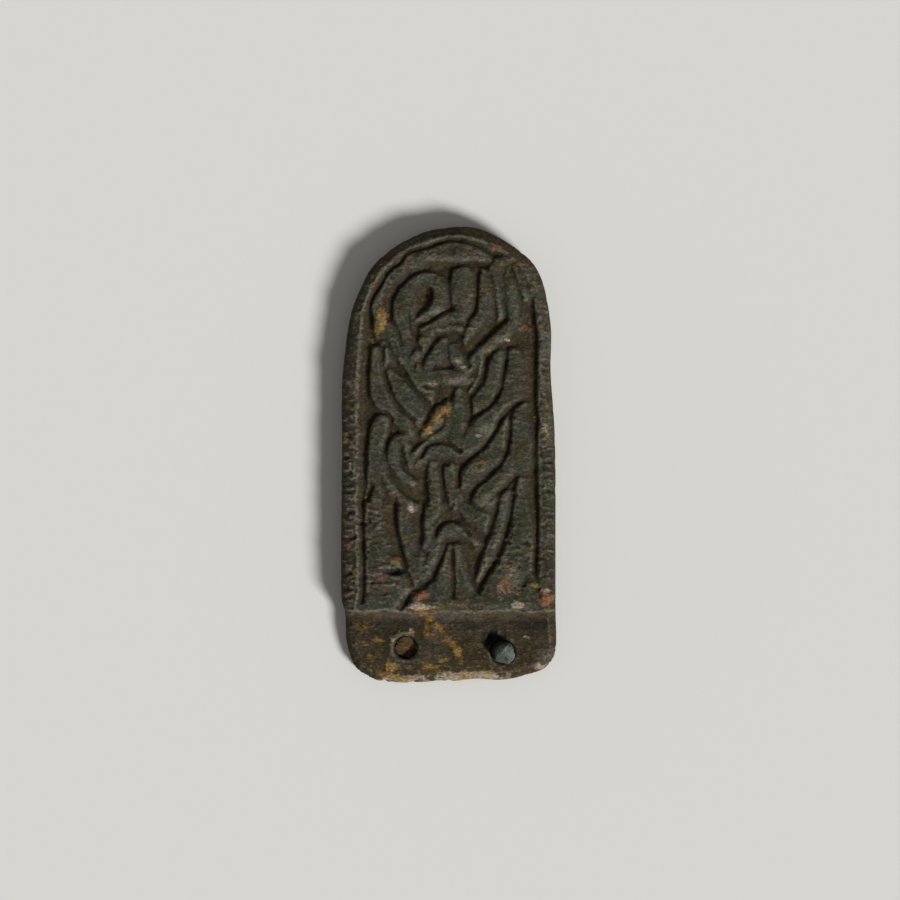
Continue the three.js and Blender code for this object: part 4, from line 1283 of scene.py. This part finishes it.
class STRAPEND_OT_right_rivet(bpy.types.Operator):
    """Builds the right rivet, which still stands out of the ledge with a worn, faceted top"""
    bl_idname = "strapend.right_rivet"
    bl_label = "Standing Rivet"

    def execute(self, context):
        settings = context.scene.strap_end_rivets
        centre, top = hole_centre("right_rivet"), settings.stub_top / MM
        # The standing part starts at its foot, just under the surface of the ledge.
        foot = 1.9
        tail, shape = hammered_tail(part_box("right_rivet"))
        shape += [(1.2, 0.52), (1.22, 1.0), (1.24, 1.6)]
        shape += [(1.25, height) for height in np.linspace(foot, top - 0.35, 6)]
        shape += [(1.22, top - 0.2), (1.12, top - 0.08)]
        shape += [(radius, top) for radius in (1.0, 0.86, 0.72, 0.58, 0.44, 0.3, 0.16, 0.05)]
        # Flats worn on the top and side: which way each faces, and how far it lies from the middle of
        # the foot.
        flats = (
            ((0.75, -0.25, 0.60), 1.31), ((-0.25, -0.75, 0.67), 1.25), ((0.35, 0.75, 0.65), 1.37),
            ((0.95, 0.3, 0.1), 1.12), ((-0.2, -0.97, 0.1), 1.12), ((-0.9, -0.4, 0.15), 1.2),
        )
        rings = []
        for radius, height in shape:
            spots = circle(radius, height, RIVET_STEPS)
            standing = height >= foot
            if standing:
                above = spots - (0, 0, foot)
                for facing, out in flats:
                    facing = np.array(facing) / np.linalg.norm(facing)
                    over = np.clip(above @ facing - out, 0, None)
                    above -= over[:, None] * facing
                spots = above + (0, 0, foot)
            rough = uneven(spots, STUB_WAVES)
            reach = np.hypot(spots[:, 0], spots[:, 1])
            # The worn head leans out a little towards the lamp.
            lean = ramp(spots[:, 2], 2.15, 2.5) * ramp(reach, 0.0, 1.0)
            reach += 0.16 * lean * (spots[:, :2] @ LIGHT_SIDE) / reach
            trim = 0.03 if standing else 0.0
            heights = np.clip(spots[:, 2] + trim * rough * 1.2 - trim, 0, top)
            rings.append((np.clip(reach + 0.025 * rough * (reach > 0.5) - 0.02, 0.02, tail), heights))
        piece = make_object("right_rivet_stub", *turned_mesh(centre, rings, RIVET_STEPS))
        spots = vertices_of(piece)[:, :2] - centre
        # The stain mask is painted shade on the rivet's side away from the lamp.
        store_mask(piece, "stain", ramp(spots @ -LIGHT_SIDE, -0.15, 0.55))
        # Bronze rivet shank worn to facets, with a thin grey-green carbonate skin: dull, a little chalky. Its
        # side away from the lamp is painted darker green as shade.
        noises = {"mottle": (1.1, 4.0, 1.0), "flecks": (0.35, 4.0, 1.0), "grain": (0.16, 3.0, 1.0)}
        layers = (
            (None, "mottle", 1.0, 0.45, 0.62, settings.stub_pale, 0.8),
            (None, "flecks", 1.0, 0.56, 0.66, settings.stub_green_and_shade, 0.75),
            # Painted shade in dark green on the side away from the lamp.
            ("stain", "flecks", 1.6, 1.1, 1.6, settings.stub_green_and_shade, 0.9),
        )
        material = corroded_metal(
            "worn_bronze_green_carbonate", settings.stub_colour, layers, noises, ("stain",),
            (("grain", 0.6, 1.4),), (("flecks", (0.35, 0.2, 0.5)),), ("flecks", 0.5, 0.8), 0.2,
            (("flecks", 0.08), ("grain", 0.05)),
        )
        settle(piece, material, "right_rivet")
        return {"FINISHED"}


def floor_mesh():
    """A wide floor whose rim curves up, so that low views still end on the same pale board. In metres."""
    steps, wide, rim = 96, 1.3, 0.3
    profile = [(0.05, 0.0), (0.3, 0.0), (0.8, 0.0), (wide, 0.0)]
    profile += [
        (wide + rim * math.sin(turn), rim - rim * math.cos(turn)) for turn in np.radians((20, 40, 60, 80))
    ]
    around = np.arange(steps)
    points = [np.zeros((1, 3))] + [circle(radius, height, steps) for radius, height in profile]
    faces = [np.stack((np.zeros(steps, int), 1 + around, 1 + np.roll(around, -1)), axis=1)]
    for step in range(1, len(profile)):
        outer = 1 + step * steps + around
        faces.append(band_faces(outer, outer - steps))
    return np.vstack(points), faces


# Where the middle of the photograph falls on the part, in metres.
PHOTO_MIDDLE = (0.000136, 0.000545)
SENSOR_WIDTH = 36  # millimetres


class STRAPEND_OT_stage(bpy.types.Operator):
    """Sets out the pale floor, the soft lamp, the even fill light and the camera"""
    bl_idname = "strapend.stage"
    bl_label = "Stage"

    def execute(self, context):
        scene, settings = context.scene, context.scene.strap_end_stage
        points, faces = floor_mesh()
        # The floor lies a hundredth of a millimetre below the plate, so that the two don't coincide.
        floor = make_object("stage_floor", (points - (0, 0, 1e-5)) / MM, faces)
        # Matte painted board: even and pale, without gloss.
        board = bpy.data.materials.new("matte_painted_board")
        board.use_nodes = True
        board.node_tree.nodes.clear()
        paint = add_node(board.node_tree, "ShaderNodeBsdfPrincipled", {
            "Base Color": (*settings.floor_colour, 1), "Roughness": 0.9,
        })
        add_node(board.node_tree, "ShaderNodeOutputMaterial", {"Surface": paint.outputs[0]})
        floor.data.materials.append(board)

        lamp = bpy.data.lights.new("key_light", "SUN")
        lamp.energy, lamp.angle = settings.key_strength, settings.key_softness
        key = bpy.data.objects.new("key_light", lamp)
        key.rotation_euler = (0, math.pi / 2 - settings.key_height, settings.key_turn)
        scene.collection.objects.link(key)

        world = bpy.data.worlds.new("even_fill")
        world.use_nodes = True
        world.node_tree.nodes.clear()
        sky = add_node(world.node_tree, "ShaderNodeBackground", {
            "Color": (1, 1, 1, 1), "Strength": settings.fill_strength,
        })
        add_node(world.node_tree, "ShaderNodeOutputWorld", {"Surface": sky.outputs[0]})
        scene.world = world

        lens = bpy.data.cameras.new("photo_camera")
        camera = bpy.data.objects.new("photo_camera", lens)
        camera.location = (*PHOTO_MIDDLE, settings.camera_height)
        lens.sensor_width = SENSOR_WIDTH
        lens.lens = SENSOR_WIDTH * (settings.camera_height - PLATE_HIGH[2] * MM) / settings.frame_width
        lens.clip_start = 0.01
        scene.collection.objects.link(camera)
        scene.camera = camera
        scene.view_settings.view_transform = "Standard"
        return {"FINISHED"}


class STRAPEND_PT_panel(bpy.types.Panel):
    bl_label = "Strap End"
    bl_idname = "STRAPEND_PT_panel"
    bl_space_type = "VIEW_3D"
    bl_region_type = "UI"
    bl_category = "Strap End"

    def draw(self, context):
        for operator in OPERATORS:
            self.layout.operator(operator.bl_idname)
        for group in GROUPS:
            settings = getattr(context.scene, group)
            for name in settings.__annotations__:
                self.layout.prop(settings, name)


GROUPS = {
    "strap_end_plate": StrapEndPlate,
    "strap_end_rivets": StrapEndRivets,
    "strap_end_stage": StrapEndStage,
}
OPERATORS = (
    STRAPEND_OT_cast_plate, STRAPEND_OT_left_rivet, STRAPEND_OT_right_rivet, STRAPEND_OT_stage,
)


def register():
    for item in (*GROUPS.values(), *OPERATORS, STRAPEND_PT_panel):
        bpy.utils.register_class(item)
    for name, group in GROUPS.items():
        setattr(bpy.types.Scene, name, PointerProperty(type=group))


def unregister():
    for name in GROUPS:
        delattr(bpy.types.Scene, name)
    for item in (STRAPEND_PT_panel, *reversed(OPERATORS), *reversed(GROUPS.values())):
        bpy.utils.unregister_class(item)


def main():
    register()
    bpy.ops.strapend.cast_plate()
    bpy.ops.strapend.left_rivet()
    bpy.ops.strapend.right_rivet()
    bpy.ops.strapend.stage()


if __name__ == "__main__":
    main()
